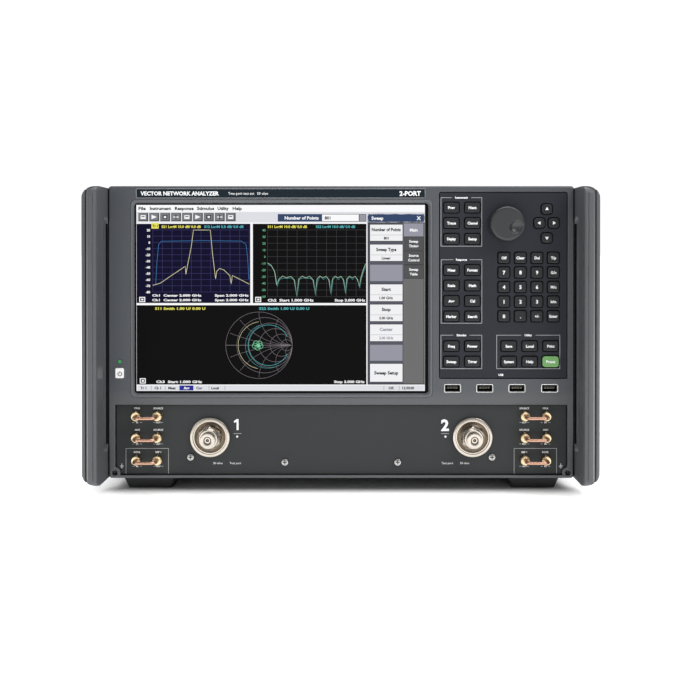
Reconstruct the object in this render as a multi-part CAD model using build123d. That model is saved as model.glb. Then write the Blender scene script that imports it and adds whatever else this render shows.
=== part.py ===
from build123d import *
import os

# Bench-top vector network analyzer, millimetres. X runs to the right seen from the front, Y to the
# back and Z up. The origin is on the floor, under the middle of the bounding box.

# ---------------------------------------------------------------- driving dimensions
WIDTH = 425.6  # cabinet width, a full-width rack instrument without its ears
HEIGHT = 267.0  # cabinet height, six rack units
FOOT = 13.0  # height of the feet
FRONT = -258.0  # front plane of the front frame
REAR = 276.0  # back of the rear panel's rim
GRIP = 45.0  # how far the handles stand in front of the front plane
BUMPER = 27.0  # how far the rear bumpers stand behind the rear rim
FRAME_DEPTH = 40.0  # depth of the front frame casting
FRAME_FACE = 5.0  # thickness of its front wall
EDGE = 3.5  # rounding of the cabinet's long corners
SHEET = 1.2  # thickness of the sheet-metal cover
GAP = 0.2  # clearance around keys and inserted panels
FIT = 0.05  # radial clearance of a turning shaft

HALF = WIDTH / 2
FLOOR = FOOT  # underside of the cabinet
TOP = FOOT + HEIGHT
FRAME_BACK = FRONT + FRAME_DEPTH
RIM_DEPTH = 14.0  # depth of the rear panel's rim
COVER_BACK = REAR - RIM_DEPTH

# Openings of the front face, as centre x, centre z, width, height
SCREEN = (-54.7, 177.3, 268.6, 173.8)
BEZEL = (-54.5, 177.3, 275.6, 180.6)
GLASS = (-54.7, 177.3, 272.2, 177.4)
KEYPAD = (147.8, 189.3, 117.2, 170.6)
PORTS = (0.0, 48.05, 413.2, 64.7)
TITLE = (-55.2, 273.2, 263.6, 8.6)

KEYPAD_FRONT = FRONT + 0.6
KEYPAD_BACK = KEYPAD_FRONT + 2.5
LEDGE = 3.0  # width of the ledge that carries the keypad panel
PORTS_FRONT = FRONT + 3.5
PORTS_BACK = PORTS_FRONT + 2.5
GLASS_FRONT = FRONT + 2.4
GLASS_BACK = GLASS_FRONT + 2.8

# Keys
KEY_RISE = 1.7  # how far a key stands in front of the keypad panel
KEY_FLANGE = 0.6  # width of the flange that keeps a key behind the panel
KEY_FLANGE_T = 1.0
KEY_TRAVEL = 1.2
FUNCTION_KEY = (13.4, 8.8)
NUMBER_KEY = (10.0, 9.4)
ARROW_KEY = (9.6, 8.6)
PRESET_KEY = (15.0, 10.0)
NUMBER_COLUMNS = (148.3, 163.3, 178.4, 193.4)
NUMBER_ROWS = (214.4, 201.1, 187.8, 174.5, 161.2)
PAIR_COLUMNS = (100.4, 119.6)
INSTRUMENT_ROWS = (260.2, 246.1, 231.7)
RESPONSE_ROWS = (203.3, 189.2, 175.1, 161.0)
LOW_ROWS = (133.9, 119.8)
UTILITY_COLUMNS = (152.8, 171.9, 191.0)
ARROWS = {
    "up": (187.4, 258.9),
    "down": (187.4, 232.5),
    "left": (180.6, 246.2),
    "right": (193.7, 246.2),
}

# Knob and its encoder
KNOB = (150.0, 245.3)
KNOB_R = 15.6
KNOB_FRONT = KEYPAD_FRONT - 15.2
SHAFT_R = 3.0
BUSH_R = 4.6
ENCODER_SIZE = 14.0
ENCODER_DEPTH = 7.0

# Rubber mat and circuit board behind the keys
MAT_FRONT = KEYPAD_BACK + FIT + KEY_FLANGE_T + KEY_TRAVEL + 0.2
MAT_T = 1.2
BOARD_T = 1.6

# USB sockets in the strip under the keypad
USB_X = (101.5, 130.9, 160.3, 190.1)
USB_Z = 95.4
USB_RIM = (15.6, 7.8)
USB_SHELL = (13.2, 5.8)
USB_WALL = 0.4
USB_DEPTH = 15.0

# Power button and its light
POWER = (-202.0, 109.3)
POWER_BUTTON = (7.8, 9.2)
POWER_LIGHT = (-202.0, 119.6)
POWER_RISE = 1.4
POWER_TRAVEL = 2.0

# Measurement ports and jumpers
PORT_X = 120.0
PORT_Z = 50.4
FLANGE_R = 18.2
PORT_R = 9.0
PORT_TIP = FRONT - 17.0
PORT_COLLAR = 6.0  # length of the plain cylinder that a cable's nut closes over
JACK_X = (167.6, 187.0)
JACK_Z = (70.0, 50.3, 29.8)
JACK_R = 3.17
JUMPER_NUT_R = 4.7
JUMPER_NUT_FRONT = FRONT - 5.2
JUMPER_REACH = FRONT - 15.0
JUMPER_TUBE_R = 1.5
PORT_LIGHT = (95.4, 50.6)
PANEL_SCREWS = ((-137.9, 31.9), (137.9, 31.9), (-51.6, 27.3), (51.6, 27.3))
BOSS = (207.0, 17.9)
BOSS_R = 5.0
BOSS_HOLE_R = 2.6

# Handles: bottom and top, and the finger window
HANDLE_LOW = 13.4
HANDLE_HIGH = 278.0
HANDLE_THICK = 17.2
WINDOW_LOW = 38.0
WINDOW_HIGH = 252.0
WINDOW_DEPTH = 18.0
HANDLE_FLANGE = 5.0
HANDLE_BACK = 30.0
HANDLE_SCREW_Z = (66.0, 148.0, 230.0)
HANDLE_SCREW_Y = FRONT + 15.0

# Feet and the wire stands that fold out of the front feet
FOOT_X = 178.5
FOOT_WIDTH = 49.0
FRONT_FOOT = (-238.0, -176.0)
REAR_FOOT = (186.0, 240.0)
WIRE_R = 2.0
STAND_Y = -188.0
STAND_Z = 6.4
STAND_LENGTH = 52.0
STAND_HALF = 13.0

# Rear panel
PANEL_BACK = REAR - 5.5
PANEL_T = 2.5
REAR_RIM = 5.0  # width of the rear panel's rim
FANS = {"inner": (55.0, 208.0), "outer": (155.0, 208.0)}
FAN_SIZE = 92.0
FAN_DEPTH = 25.4
FAN_SCREWS = (-41.25, 41.25)
FAN_HOLE_R = 43.0
FAN_HUB_R = 17.0
FAN_PIN_R = 2.0
BLADES = 7
BNC_X = tuple(8.0 + 22.0 * i for i in range(8))
BNC_Z = 42.0
BNC_R = 4.8
BNC_TIP = PANEL_BACK + 13.0
BNC_BARREL = 8.8  # length of the plain barrel in front of its neck
D_SOCKETS = ((40.0, 92.0, 60.0, 14.0), (112.0, 92.0, 46.0, 11.5), (172.0, 92.0, 30.0, 11.5))
IO_SOCKETS = ((-40.0, 92.0, 15.4, 13.2), (-62.0, 92.0, 13.8, 15.6), (-84.0, 92.0, 13.8, 15.6))
CADDY = (-62.0, 42.0, 76.0, 22.0)
CADDY_LENGTH = 118.0
CADDY_LIP = 3.0
INLET = (-150.0, 62.0, 28.0, 21.0)


# ---------------------------------------------------------------- helpers
def block(x0, x1, y0, y1, z0, z1):
    """A box between two corners."""
    return Pos((x0 + x1) / 2, (y0 + y1) / 2, (z0 + z1) / 2) * Box(x1 - x0, y1 - y0, z1 - z0)


def facing(y):
    """The plane at depth y that looks towards the front, with X to the right and Z up."""
    return Plane.XZ.offset(-y)


def plate(x, z, w, h, r, front, back):
    """A rounded rectangle seen from the front, from depth front to depth back."""
    return extrude(facing(back) * Pos(x, z) * RectangleRounded(w, h, r), amount=back - front)


def disc(x, z, r, front, back):
    """A round bar along Y, from depth front to depth back."""
    return extrude(facing(back) * Pos(x, z) * Circle(r), amount=back - front)


def ring(x, z, r_out, r_in, front, back):
    """A tube along Y, from depth front to depth back."""
    return extrude(facing(back) * Pos(x, z) * (Circle(r_out) - Circle(r_in)), amount=back - front)


def turned(points, x, z):
    """A profile of (radius, y) points turned about an axis along Y through (x, z)."""
    outline = make_face(Plane.XY * Polyline(*points, close=True))
    return Pos(x, 0, z) * revolve(outline, Axis.Y)


def hexagon(x, z, r, front, back):
    """A hexagonal bar along Y; r reaches its corners."""
    return extrude(facing(back) * Pos(x, z) * RegularPolygon(r, 6), amount=back - front)


def grown(box, by):
    """A centre x, centre z, width, height box with every edge moved out."""
    x, z, w, h = box
    return x, z, w + 2 * by, h + 2 * by


def save(name, *solids):
    """Write one node, of one solid or of several."""
    shape = solids[0] if len(solids) == 1 else Compound(children=list(solids))
    export_step(shape, f"parts/{name}.step")


def both_sides(x_values):
    """The same places on the left and on the right."""
    return [-x for x in x_values] + list(x_values)


# ---------------------------------------------------------------- front frame and screen
def front_frame():
    """The casting around the front, with its openings, corner bosses and handle screw holes."""
    body = block(-HALF, HALF, FRONT, FRAME_BACK, FLOOR, TOP)
    body = fillet(body.edges().filter_by(Axis.Y), EDGE)
    body = fillet(body.edges().group_by(Axis.Y)[0], 2.2)
    wall = 4.0
    thin = 2.7
    body -= block(-HALF + wall, HALF - wall, FRONT + FRAME_FACE, FRAME_BACK, FLOOR + thin, TOP - thin)
    body -= plate(*PORTS, 1.5, FRONT, FRONT + FRAME_FACE)
    within = block(-HALF + 1, HALF - 1, FRONT, FRAME_BACK, FLOOR + 0.5, TOP)
    for x in (-BOSS[0], BOSS[0]):
        body += disc(x, BOSS[1], BOSS_R, FRONT + 0.8, FRAME_BACK) & within
        body -= disc(x, BOSS[1], BOSS_HOLE_R, FRONT, FRONT + 6.0)
    body -= plate(*grown(BEZEL, GAP), 5.2, FRONT, FRONT + FRAME_FACE)
    body -= plate(*grown(KEYPAD, GAP), 2.0, FRONT, KEYPAD_BACK)
    body -= plate(*grown(KEYPAD, -LEDGE), 2.0, FRONT, FRONT + FRAME_FACE)
    body -= plate(*TITLE, 0.8, FRONT, FRONT + 0.4)
    usb = (USB_SHELL[0] + 0.2, USB_SHELL[1] + 0.2)
    body -= [plate(x, USB_Z, *usb, 0.6, FRONT, FRONT + FRAME_FACE) for x in USB_X]
    button = (*POWER, *POWER_BUTTON)
    lip = plate(*grown(button, 1.4), 2.4, FRONT - 0.7, FRONT + 1)
    body += fillet(lip.edges().group_by(Axis.Y)[0], 0.4)
    body -= plate(*grown(button, GAP), 1.4, FRONT - 1, FRONT + FRAME_FACE)
    body -= disc(*POWER_LIGHT, 1.6, FRONT, FRONT + FRAME_FACE)
    drill = Rot(0, 90, 0) * Cylinder(2.1, 20)
    return body - [Pos(side * HALF, HANDLE_SCREW_Y, z) * drill for side in (-1, 1) for z in HANDLE_SCREW_Z]


def screen_bezel():
    """The trim ring around the screen: a flat rim that slopes down to the glass."""
    ring_front = FRONT - 0.5
    body = plate(*BEZEL, 5.0, ring_front, GLASS_BACK)
    body = fillet(body.edges().group_by(Axis.Y)[0], 0.8)
    rim = 1.6
    x, z, w, h = grown(BEZEL, -rim)
    wide = facing(ring_front) * Pos(x, z) * RectangleRounded(w, h, 4.2)
    x, z, w, h = SCREEN
    narrow = facing(GLASS_FRONT) * Pos(x, z) * RectangleRounded(w, h, 3.0)
    body -= loft([wide, narrow])
    body -= plate(*grown(GLASS, 0.1), 2.0, GLASS_FRONT, GLASS_BACK)
    return body


def display_module():
    """The liquid-crystal panel with its backlight, in a flat metal case."""
    back = GLASS_BACK + 12.0
    case = plate(*grown(GLASS, 0.8), 2.0, GLASS_BACK, back)
    x, z, w, h = GLASS
    return case + block(x - w / 2 + 20, x + w / 2 - 20, back, back + 2.0, z - h / 2 + 15, z + h / 2 - 15)


# ---------------------------------------------------------------- keys
def key_cap(x, z, w, h, r):
    """A key: its cap, and the flange that keeps it behind the panel."""
    cap = plate(x, z, w, h, r, KEYPAD_FRONT - KEY_RISE, KEYPAD_BACK + FIT)
    cap = fillet(cap.edges().group_by(Axis.Y)[0], 0.7)
    back = KEYPAD_BACK + FIT + KEY_FLANGE_T
    return cap + plate(x, z, w + 2 * KEY_FLANGE, h + 2 * KEY_FLANGE, r, KEYPAD_BACK + FIT, back)


def key_places():
    """Every key node, with the centre and size of each of its caps."""
    places = {}
    pad = [(x, z, *NUMBER_KEY) for z in NUMBER_ROWS for x in NUMBER_COLUMNS]
    places["edit_keys"] = pad[0:4]
    places["unit_keys"] = [pad[row * 4 + 3] for row in range(1, 5)]
    for row, digits in enumerate(((7, 8, 9), (4, 5, 6), (1, 2, 3)), start=1):
        for column, digit in enumerate(digits):
            places[f"digit_key_{digit}"] = [pad[row * 4 + column]]
    places["digit_key_0"] = [pad[16]]
    places["point_key"] = [pad[17]]
    places["sign_key"] = [pad[18]]
    places["instrument_keys"] = [(x, z, *FUNCTION_KEY) for z in INSTRUMENT_ROWS for x in PAIR_COLUMNS]
    places["response_keys"] = [(x, z, *FUNCTION_KEY) for z in RESPONSE_ROWS for x in PAIR_COLUMNS]
    places["stimulus_keys"] = [(x, z, *FUNCTION_KEY) for z in LOW_ROWS for x in PAIR_COLUMNS]
    utility = [(x, z, *FUNCTION_KEY) for z in LOW_ROWS for x in UTILITY_COLUMNS]
    places["utility_keys"] = utility[:-1]
    places["preset_key"] = [(*utility[-1][:2], *PRESET_KEY)]
    for name, centre in ARROWS.items():
        places[f"arrow_key_{name}"] = [(*centre, *ARROW_KEY)]
    return places


def key_corner(name):
    """Corner radius of a node's keys."""
    return 2.8 if name.startswith("arrow") or name == "preset_key" else 1.6


def keypad_panel(places):
    """The moulded panel with a hole for every key and for the knob's bush."""
    body = plate(*KEYPAD, 1.8, KEYPAD_FRONT, KEYPAD_BACK)
    holes = [disc(*KNOB, BUSH_R + 0.1, KEYPAD_FRONT, KEYPAD_BACK)]
    for name, caps in places.items():
        holes += [plate(*grown(cap, GAP), key_corner(name), KEYPAD_FRONT, KEYPAD_BACK) for cap in caps]
    return body - holes


def keypad_mat(places):
    """The silicone mat: a dome under every key, drawn at its pressed height."""
    x, z, w, h = grown(KEYPAD, -LEDGE - 0.5)
    body = plate(x, z, w, h, 2.0, MAT_FRONT, MAT_FRONT + MAT_T)
    body += [disc(*cap[:2], 2.6, MAT_FRONT - 0.15, MAT_FRONT) for caps in places.values() for cap in caps]
    return body - disc(*KNOB, BUSH_R + 0.6, MAT_FRONT - 1, MAT_FRONT + MAT_T)


def front_board():
    """The circuit board behind the mat, with its chips."""
    x, z, w, h = grown(KEYPAD, -LEDGE - 0.5)
    front = MAT_FRONT + MAT_T
    board = plate(x, z, w, h, 2.0, front, front + BOARD_T)
    for row in range(4):
        chip = z - h / 2 + 20 + row * 32
        board += block(x - 42, x - 18, front + BOARD_T, front + BOARD_T + 2.2, chip, chip + 12)
    return board - disc(*KNOB, BUSH_R + 0.6, front, front + BOARD_T)


def power_button():
    """The power button, with the flange that keeps it behind the frame's face."""
    cap = plate(*POWER, *POWER_BUTTON, 1.3, FRONT - POWER_RISE, FRONT + FRAME_FACE + FIT)
    cap = fillet(cap.edges().group_by(Axis.Y)[0], 0.5)
    back = FRONT + FRAME_FACE + FIT
    x, z = POWER
    w, h = POWER_BUTTON
    return cap + plate(x + 0.9, z, w - 0.4, h + 2, 1.0, back, back + 1.2)


def knob():
    """The rotary knob with its finger dimple, and the shaft that turns in the encoder's bush."""
    back = KEYPAD_FRONT - 0.5
    body = turned(
        [(0, KNOB_FRONT), (KNOB_R - 0.3, KNOB_FRONT), (KNOB_R, back - 4), (KNOB_R + 0.7, back), (0, back)],
        *KNOB,
    )
    body = fillet(body.edges().group_by(Axis.Y)[0], 1.6)
    dimple_r = 5.3
    dimple_deep = 2.6
    sphere_r = (dimple_r**2 + dimple_deep**2) / (2 * dimple_deep)
    dimple = Pos(KNOB[0] + 8.0, KNOB_FRONT - sphere_r + dimple_deep, KNOB[1] - 3.6) * Sphere(sphere_r)
    body -= dimple
    return body + disc(*KNOB, SHAFT_R, back, MAT_FRONT + MAT_T + BOARD_T + 3)


def knob_encoder():
    """The rotary encoder: its case on the board, and the bush that the shaft turns in."""
    back = MAT_FRONT + MAT_T + BOARD_T
    x, z = KNOB
    half = ENCODER_SIZE / 2
    body = block(x - half, x + half, back, back + ENCODER_DEPTH, z - half, z + half)
    body += disc(x, z, BUSH_R, KEYPAD_FRONT, back)
    return body - disc(x, z, SHAFT_R + FIT, KEYPAD_FRONT, back + 3.5)


# ---------------------------------------------------------------- measurement ports
def port_panel():
    """The recessed panel that carries the ports, the jumpers and their screws."""
    body = plate(*grown(PORTS, -GAP), 1.3, PORTS_FRONT, PORTS_BACK)
    holes = [(x, z, JACK_R + 0.1) for x in both_sides(JACK_X) for z in JACK_Z]
    holes += [(x, z, 1.7) for x, z in PANEL_SCREWS]
    for side in (-1, 1):
        holes += [(side * BOSS[0], BOSS[1], BOSS_R + GAP), (side * PORT_X, PORT_Z, 14.1)]
        holes += [(side * PORT_LIGHT[0], PORT_LIGHT[1], 1.1)]
    return body - [disc(*hole, PORTS_FRONT, PORTS_BACK) for hole in holes]


def panel_screw(x, z):
    """A pan-head screw with a cross recess, through the port panel into the tray's tab."""
    head_r = 3.2
    front = PORTS_FRONT - 1.9
    head = disc(x, z, head_r, front, PORTS_FRONT)
    head = fillet(head.edges().group_by(Axis.Y)[0], 0.6)
    half = 0.55
    reach = head_r * 0.6
    head -= block(x - half, x + half, front, front + 0.9, z - reach, z + reach)
    head -= block(x - reach, x + reach, front, front + 0.9, z - half, z + half)
    return head + disc(x, z, 1.6, PORTS_FRONT, PORTS_BACK + 5)


def port_flange(x):
    """The turned collar around a port: a bright rim and a dish that slopes inwards."""
    bore = PORT_R + 1.6
    lip = PORTS_FRONT - 3.8
    return turned(
        [
            (bore, PORTS_BACK + 2),
            (bore, PORTS_FRONT + 1.0),
            (bore + 1.2, PORTS_FRONT + 0.4),
            (14.4, lip + 1.2),
            (15.4, lip + 1.2),
            (15.9, lip),
            (FLANGE_R - 0.9, lip),
            (FLANGE_R, lip + 0.9),
            (FLANGE_R, PORTS_FRONT),
            (14.0, PORTS_FRONT),
            (14.0, PORTS_BACK + 2),
        ],
        x,
        PORT_Z,
    )


def port_connector(x):
    """The ruggedised coaxial port: a wide body, a stepped nose, and a pin in its open mouth."""
    back = PORTS_BACK + 12
    shoulder = PORT_TIP + 5.2
    pin_r = 0.75
    mouth_r = 3.1
    floor = PORT_TIP + 5.0
    neck_r = PORT_R - 0.8
    return turned(
        [
            (0, back),
            (PORT_R + 1.0, back),
            (PORT_R + 1.0, PORTS_BACK + 2),
            (neck_r, PORTS_BACK + 2),
            (neck_r, shoulder + 0.7 + PORT_COLLAR),
            (PORT_R, shoulder + 0.7 + PORT_COLLAR),
            (PORT_R, shoulder + 0.7),
            (PORT_R - 0.7, shoulder),
            (6.9, shoulder),
            (6.7, PORT_TIP + 0.5),
            (6.2, PORT_TIP),
            (mouth_r + 0.4, PORT_TIP),
            (mouth_r, PORT_TIP + 0.5),
            (mouth_r, floor),
            (pin_r, floor),
            (pin_r, PORT_TIP + 1.6),
            (0, PORT_TIP + 0.8),
        ],
        x,
        PORT_Z,
    )


def jumper_jack(x, z):
    """A small coaxial jack with a hexagon on each side of the panel."""
    front = JUMPER_NUT_FRONT + 2.4
    body = hexagon(x, z, 4.6, PORTS_FRONT - 1.2, PORTS_FRONT)
    body += disc(x, z, JACK_R, front, PORTS_BACK + 9)
    return body + hexagon(x, z, 4.6, PORTS_BACK, PORTS_BACK + 2)


def jumper_link(x0, x1, z):
    """A rigid coaxial loop between two jacks, with a hexagonal nut at each end."""
    root = JUMPER_NUT_FRONT + 1
    path = FilletPolyline(
        (x0, root, z),
        (x0, JUMPER_REACH, z),
        (x1, JUMPER_REACH, z),
        (x1, root, z),
        radius=4.0,
    )
    start = Plane(origin=(x0, root, z), z_dir=(0, -1, 0))
    body = sweep(start * Circle(JUMPER_TUBE_R), path=path)
    back = PORTS_FRONT - 1.3
    for x in (x0, x1):
        nut = hexagon(x, z, JUMPER_NUT_R, JUMPER_NUT_FRONT + 0.8, back)
        nut += disc(x, z, JUMPER_NUT_R - 0.9, JUMPER_NUT_FRONT - 0.6, JUMPER_NUT_FRONT + 0.8)
        nut -= disc(x, z, JACK_R + 0.08, JUMPER_NUT_FRONT + 2.3, back)
        body += nut
    return body


def usb_socket(x):
    """A USB socket: its steel shell with a front rim, and the contact tongue inside."""
    front = FRONT - 0.5
    back = FRONT + USB_DEPTH
    w, h = USB_SHELL
    body = plate(x, USB_Z, *USB_RIM, 1.4, front, FRONT)
    body += plate(x, USB_Z, w, h, 0.5, FRONT, back)
    body -= plate(x, USB_Z, w - 2 * USB_WALL, h - 2 * USB_WALL, 0.3, front, back - 1)
    tongue_t = 1.9
    tongue_z = USB_Z + 0.9
    half = w / 2 - 1.4
    low = tongue_z - tongue_t / 2
    return body + block(x - half, x + half, front + 1.6, back - 1, low, low + tongue_t)


def status_lights():
    """The lens of the power light, and one beside each port."""
    lens = disc(*POWER_LIGHT, 1.5, FRONT - 0.4, FRONT + FRAME_FACE + 1)
    lights = [fillet(lens.edges().group_by(Axis.Y)[0], 0.4)]
    for side in (-1, 1):
        lights.append(disc(side * PORT_LIGHT[0], PORT_LIGHT[1], 1.0, PORTS_FRONT - 0.2, PORTS_BACK + 3))
    return lights


# ---------------------------------------------------------------- handles
def handle(side):
    """A front handle: nose and outer ridge in section, a finger window, and a flange for screws."""
    thick = HANDLE_THICK
    section = [
        (0.0, HANDLE_BACK),
        (4.0, HANDLE_BACK),
        (HANDLE_FLANGE, HANDLE_BACK - 1.5),
        (7.0, 20.0),
        (thick - 1.0, -9.0),
        (thick, -13.0),
        (thick, -27.5),
        (thick - 0.9, -30.6),
        (thick - 3.0, -32.4),
        (12.9, -32.8),
        (12.3, -31.2),
        (11.3, -31.2),
        (10.6, -34.0),
        (9.4, -41.0),
        (8.0, -44.0),
        (6.0, -GRIP),
        (4.0, -GRIP),
        (3.6, -44.0),
        (2.9, -44.0),
        (2.5, -44.7),
        (0.8, -43.6),
        (0.0, -41.8),
    ]
    outline = make_face(Plane.XY * Polyline(*section, close=True))
    height = HANDLE_HIGH - HANDLE_LOW
    body = extrude(Pos(0, 0, HANDLE_LOW) * outline, amount=height)
    middle = (HANDLE_LOW + HANDLE_HIGH) / 2

    # outer corners seen from the front
    corner = 13.0
    span = 2 * thick
    silhouette = extrude(facing(60) * Pos(0, middle) * RectangleRounded(span, height, corner), amount=140)
    body = body & silhouette
    nose = facing(60) * Pos(0, middle) * RectangleRounded(19.4, height - 3.0, 9.0)
    around = block(-1, thick + 1, -60, -32.8, HANDLE_LOW - 1, HANDLE_HIGH + 1)
    body -= around - extrude(nose, amount=140)

    # nose and tail corners seen from the side
    depth = GRIP + HANDLE_BACK
    profile = Plane.YZ * Pos((HANDLE_BACK - GRIP) / 2, middle) * RectangleRounded(depth, height, 9.0)
    body = body & extrude(profile, amount=thick)

    # finger window, and the flange behind it
    window = (WINDOW_LOW + WINDOW_HIGH) / 2
    tall = WINDOW_HIGH - WINDOW_LOW
    hole = Plane.YZ * Pos(-WINDOW_DEPTH / 2, window) * RectangleRounded(WINDOW_DEPTH, tall, 7.0)
    body -= extrude(hole, amount=thick)
    flange_face = Plane.YZ.offset(HANDLE_FLANGE)
    pocket = flange_face * Pos(HANDLE_BACK / 2, window) * RectangleRounded(HANDLE_BACK + 14, tall, 7.0)
    body -= extrude(pocket, amount=thick)
    drill = Rot(0, 90, 0) * Cylinder(2.1, 2 * HANDLE_FLANGE)
    body -= [Pos(HANDLE_FLANGE / 2, HANDLE_SCREW_Y - FRONT, z) * drill for z in HANDLE_SCREW_Z]
    body = Pos(HALF, FRONT, 0) * body
    return body if side > 0 else mirror(body, about=Plane.YZ)


def handle_screw(side, z):
    """A pan-head screw through the handle's flange into the side of the front frame."""
    outer = HALF + HANDLE_FLANGE
    length = 13.0
    head_t = 2.2
    across = Rot(0, 90, 0)
    shank = Pos(side * (outer - length / 2), HANDLE_SCREW_Y, z) * across * Cylinder(2.0, length)
    head = Pos(side * (outer + head_t / 2), HANDLE_SCREW_Y, z) * across * Cylinder(4.0, head_t)
    rims = head.edges().filter_by(GeomType.CIRCLE).sort_by(Axis.X)
    head = fillet(rims[-1 if side > 0 else 0], 0.8)
    key = extrude(RegularPolygon(1.9, 6), amount=1.4, both=True)
    return shank + head - Pos(side * (outer + head_t), HANDLE_SCREW_Y, z) * across * key


# ---------------------------------------------------------------- cover, tray and feet
def outer_cover():
    """The wrap-around sleeve, with ventilation slots in both sides."""
    low, high = FLOOR, TOP - 0.4
    half = HALF - 0.4
    body = block(-half, half, FRAME_BACK, COVER_BACK, low, high)
    body = fillet(body.edges().filter_by(Axis.Y), EDGE - 0.4)
    body -= block(-half + SHEET, half - SHEET, FRAME_BACK, COVER_BACK, low + SHEET, high - SHEET)
    slot_w = 4.0
    slot = RectangleRounded(slot_w, 30.0, slot_w / 2 - 0.01)
    pitch = 9.0
    slots = []
    for first in (-178.0, 130.0):
        for row in (78.0, 118.0):
            slots += [Pos(first + i * pitch, row) * slot for i in range(12)]
    side = Plane.YZ.offset(-HALF)
    return body - [extrude(side * hole, amount=WIDTH) for hole in slots]


def chassis_tray():
    """The sheet-metal deck that carries the modules, with side walls and the caddy's rails."""
    t = 2.0
    low = FLOOR + 3.5
    half = HALF - 8.0
    front = FRAME_BACK + 2
    body = block(-half, half, front, COVER_BACK, low, low + t)
    body += block(-half + 6, half - 6, PORTS_BACK + t, front, low, low + t)
    for side in (-1, 1):
        x0, x1 = sorted((side * (half - t), side * half))
        body += block(x0, x1, front, COVER_BACK, low + t, low + 90)
    tab_top = 36.0
    body += block(-150, 150, PORTS_BACK, PORTS_BACK + t, low, tab_top)
    for x, z in PANEL_SCREWS:
        body -= disc(x, z, 1.7, PORTS_BACK, PORTS_BACK + t)
    x, z, w, h = CADDY
    rail_top = z - h / 2 - 0.1
    for rail in (x - w / 2 + 2, x + w / 2 - 5):
        body += block(rail, rail + 3, PANEL_BACK - PANEL_T - CADDY_LENGTH, COVER_BACK, low + t, rail_top)
    return body


def foot(side, y0, y1, with_stand):
    """A bottom foot that narrows downwards. A front foot is slotted for its wire stand."""
    x = side * FOOT_X
    taper = 4.2
    length = y1 - y0
    middle = (y0 + y1) / 2
    sole = Plane.XY * Pos(x, middle) * RectangleRounded(FOOT_WIDTH - 2 * taper, length - 4, 3.0)
    top = Plane.XY.offset(FOOT - 3.5) * Pos(x, middle) * RectangleRounded(FOOT_WIDTH, length, 4.0)
    body = loft([sole, top])
    body += extrude(top, amount=3.5)
    if with_stand:
        inner = STAND_HALF + WIRE_R + 0.6
        body -= block(x - inner, x + inner, STAND_Y - 9, y1 + 1, -1, FOOT - 3.0)
        body -= Pos(x, STAND_Y, STAND_Z) * Rot(0, 90, 0) * Cylinder(WIRE_R + FIT, 2 * (inner + 2.0))
    return body


def tilt_stand(side):
    """A bent wire whose ends turn in the foot's cheeks."""
    x = side * FOOT_X
    reach = STAND_HALF + WIRE_R + 0.6 + 1.8
    y = STAND_Y
    path = FilletPolyline(
        (x - reach, y, STAND_Z),
        (x - STAND_HALF, y, STAND_Z),
        (x - STAND_HALF, y + STAND_LENGTH, STAND_Z),
        (x + STAND_HALF, y + STAND_LENGTH, STAND_Z),
        (x + STAND_HALF, y, STAND_Z),
        (x + reach, y, STAND_Z),
        radius=2.6,
    )
    start = Plane(origin=(x - reach, y, STAND_Z), z_dir=(1, 0, 0))
    return sweep(start * Circle(WIRE_R), path=path)


# ---------------------------------------------------------------- rear
def fan_slots(x, z):
    """Four concentric rows of arc slots, left joined by a cross."""
    spoke = 4.0
    cut = None
    for inner in (10.0, 18.5, 27.0, 35.5):
        row = ring(x, z, inner + 6.0, inner, PANEL_BACK - PANEL_T, PANEL_BACK)
        cut = row if cut is None else cut + row
    reach = FAN_HOLE_R + 1
    for angle in (45, 135):
        bar = Pos(x, PANEL_BACK - PANEL_T / 2, z) * Rot(0, angle, 0) * Box(2 * reach, PANEL_T + 1, spoke)
        cut -= bar
    return cut


def rear_panel():
    """The recessed rear panel with its rim, fan grilles, vents and socket holes."""
    half = HALF - 0.4
    low, high = FLOOR, TOP - 0.4
    body = block(-half, half, COVER_BACK, REAR, low, high)
    body = fillet(body.edges().filter_by(Axis.Y), EDGE - 0.4)
    body = fillet(body.edges().group_by(Axis.Y)[-1], 1.5)
    plate_front = PANEL_BACK - PANEL_T
    inside = (0, (low + high) / 2, 2 * (half - REAR_RIM), high - low - 2 * REAR_RIM)
    body -= plate(*inside, 2.0, PANEL_BACK, REAR)
    body -= plate(*inside, 2.0, COVER_BACK, plate_front)
    deep = (plate_front, PANEL_BACK)
    holes = [disc(x, BNC_Z, BNC_R + 0.1, *deep) for x in BNC_X]
    holes += [plate(*grown(socket, 0.1), 1.0, *deep) for socket in D_SOCKETS + IO_SOCKETS]
    holes += [plate(*grown(CADDY, 0.3), 1.0, *deep), plate(*grown(INLET, 0.1), 2.0, *deep)]
    holes += [plate(-190.0 + 11.0 * i, 200.0, 5.0, 90.0, 2.4, *deep) for i in range(14)]
    for x, z in FANS.values():
        holes += [fan_slots(x, z)]
        holes += [disc(x + dx, z + dz, 2.1, *deep) for dx in FAN_SCREWS for dz in FAN_SCREWS]
    return body - holes


def rear_bumper(side, up):
    """A corner bumper: a tapered block on the rim, and a pad that reaches the recessed panel."""
    w, h = 42.0, 32.0
    x = side * (HALF - 0.4 - w / 2)
    z = TOP - 0.4 - h / 2 if up else FLOOR + h / 2
    base = facing(REAR) * Pos(x, z) * RectangleRounded(w, h, 5.0)
    tip = facing(REAR + BUMPER) * Pos(x, z) * RectangleRounded(w - 8, h - 8, 5.0)
    body = loft([base, tip])
    body = fillet(body.edges().group_by(Axis.Y)[-1], 2.5)
    body -= disc(x, z, 5.0, REAR + BUMPER - 12, REAR + BUMPER)
    inward = REAR_RIM / 2 + FIT
    pad = (x - side * inward, z + (-inward if up else inward), w - 2 * inward, h - 2 * inward)
    return body + plate(*pad, 2.0, PANEL_BACK, REAR)


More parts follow.
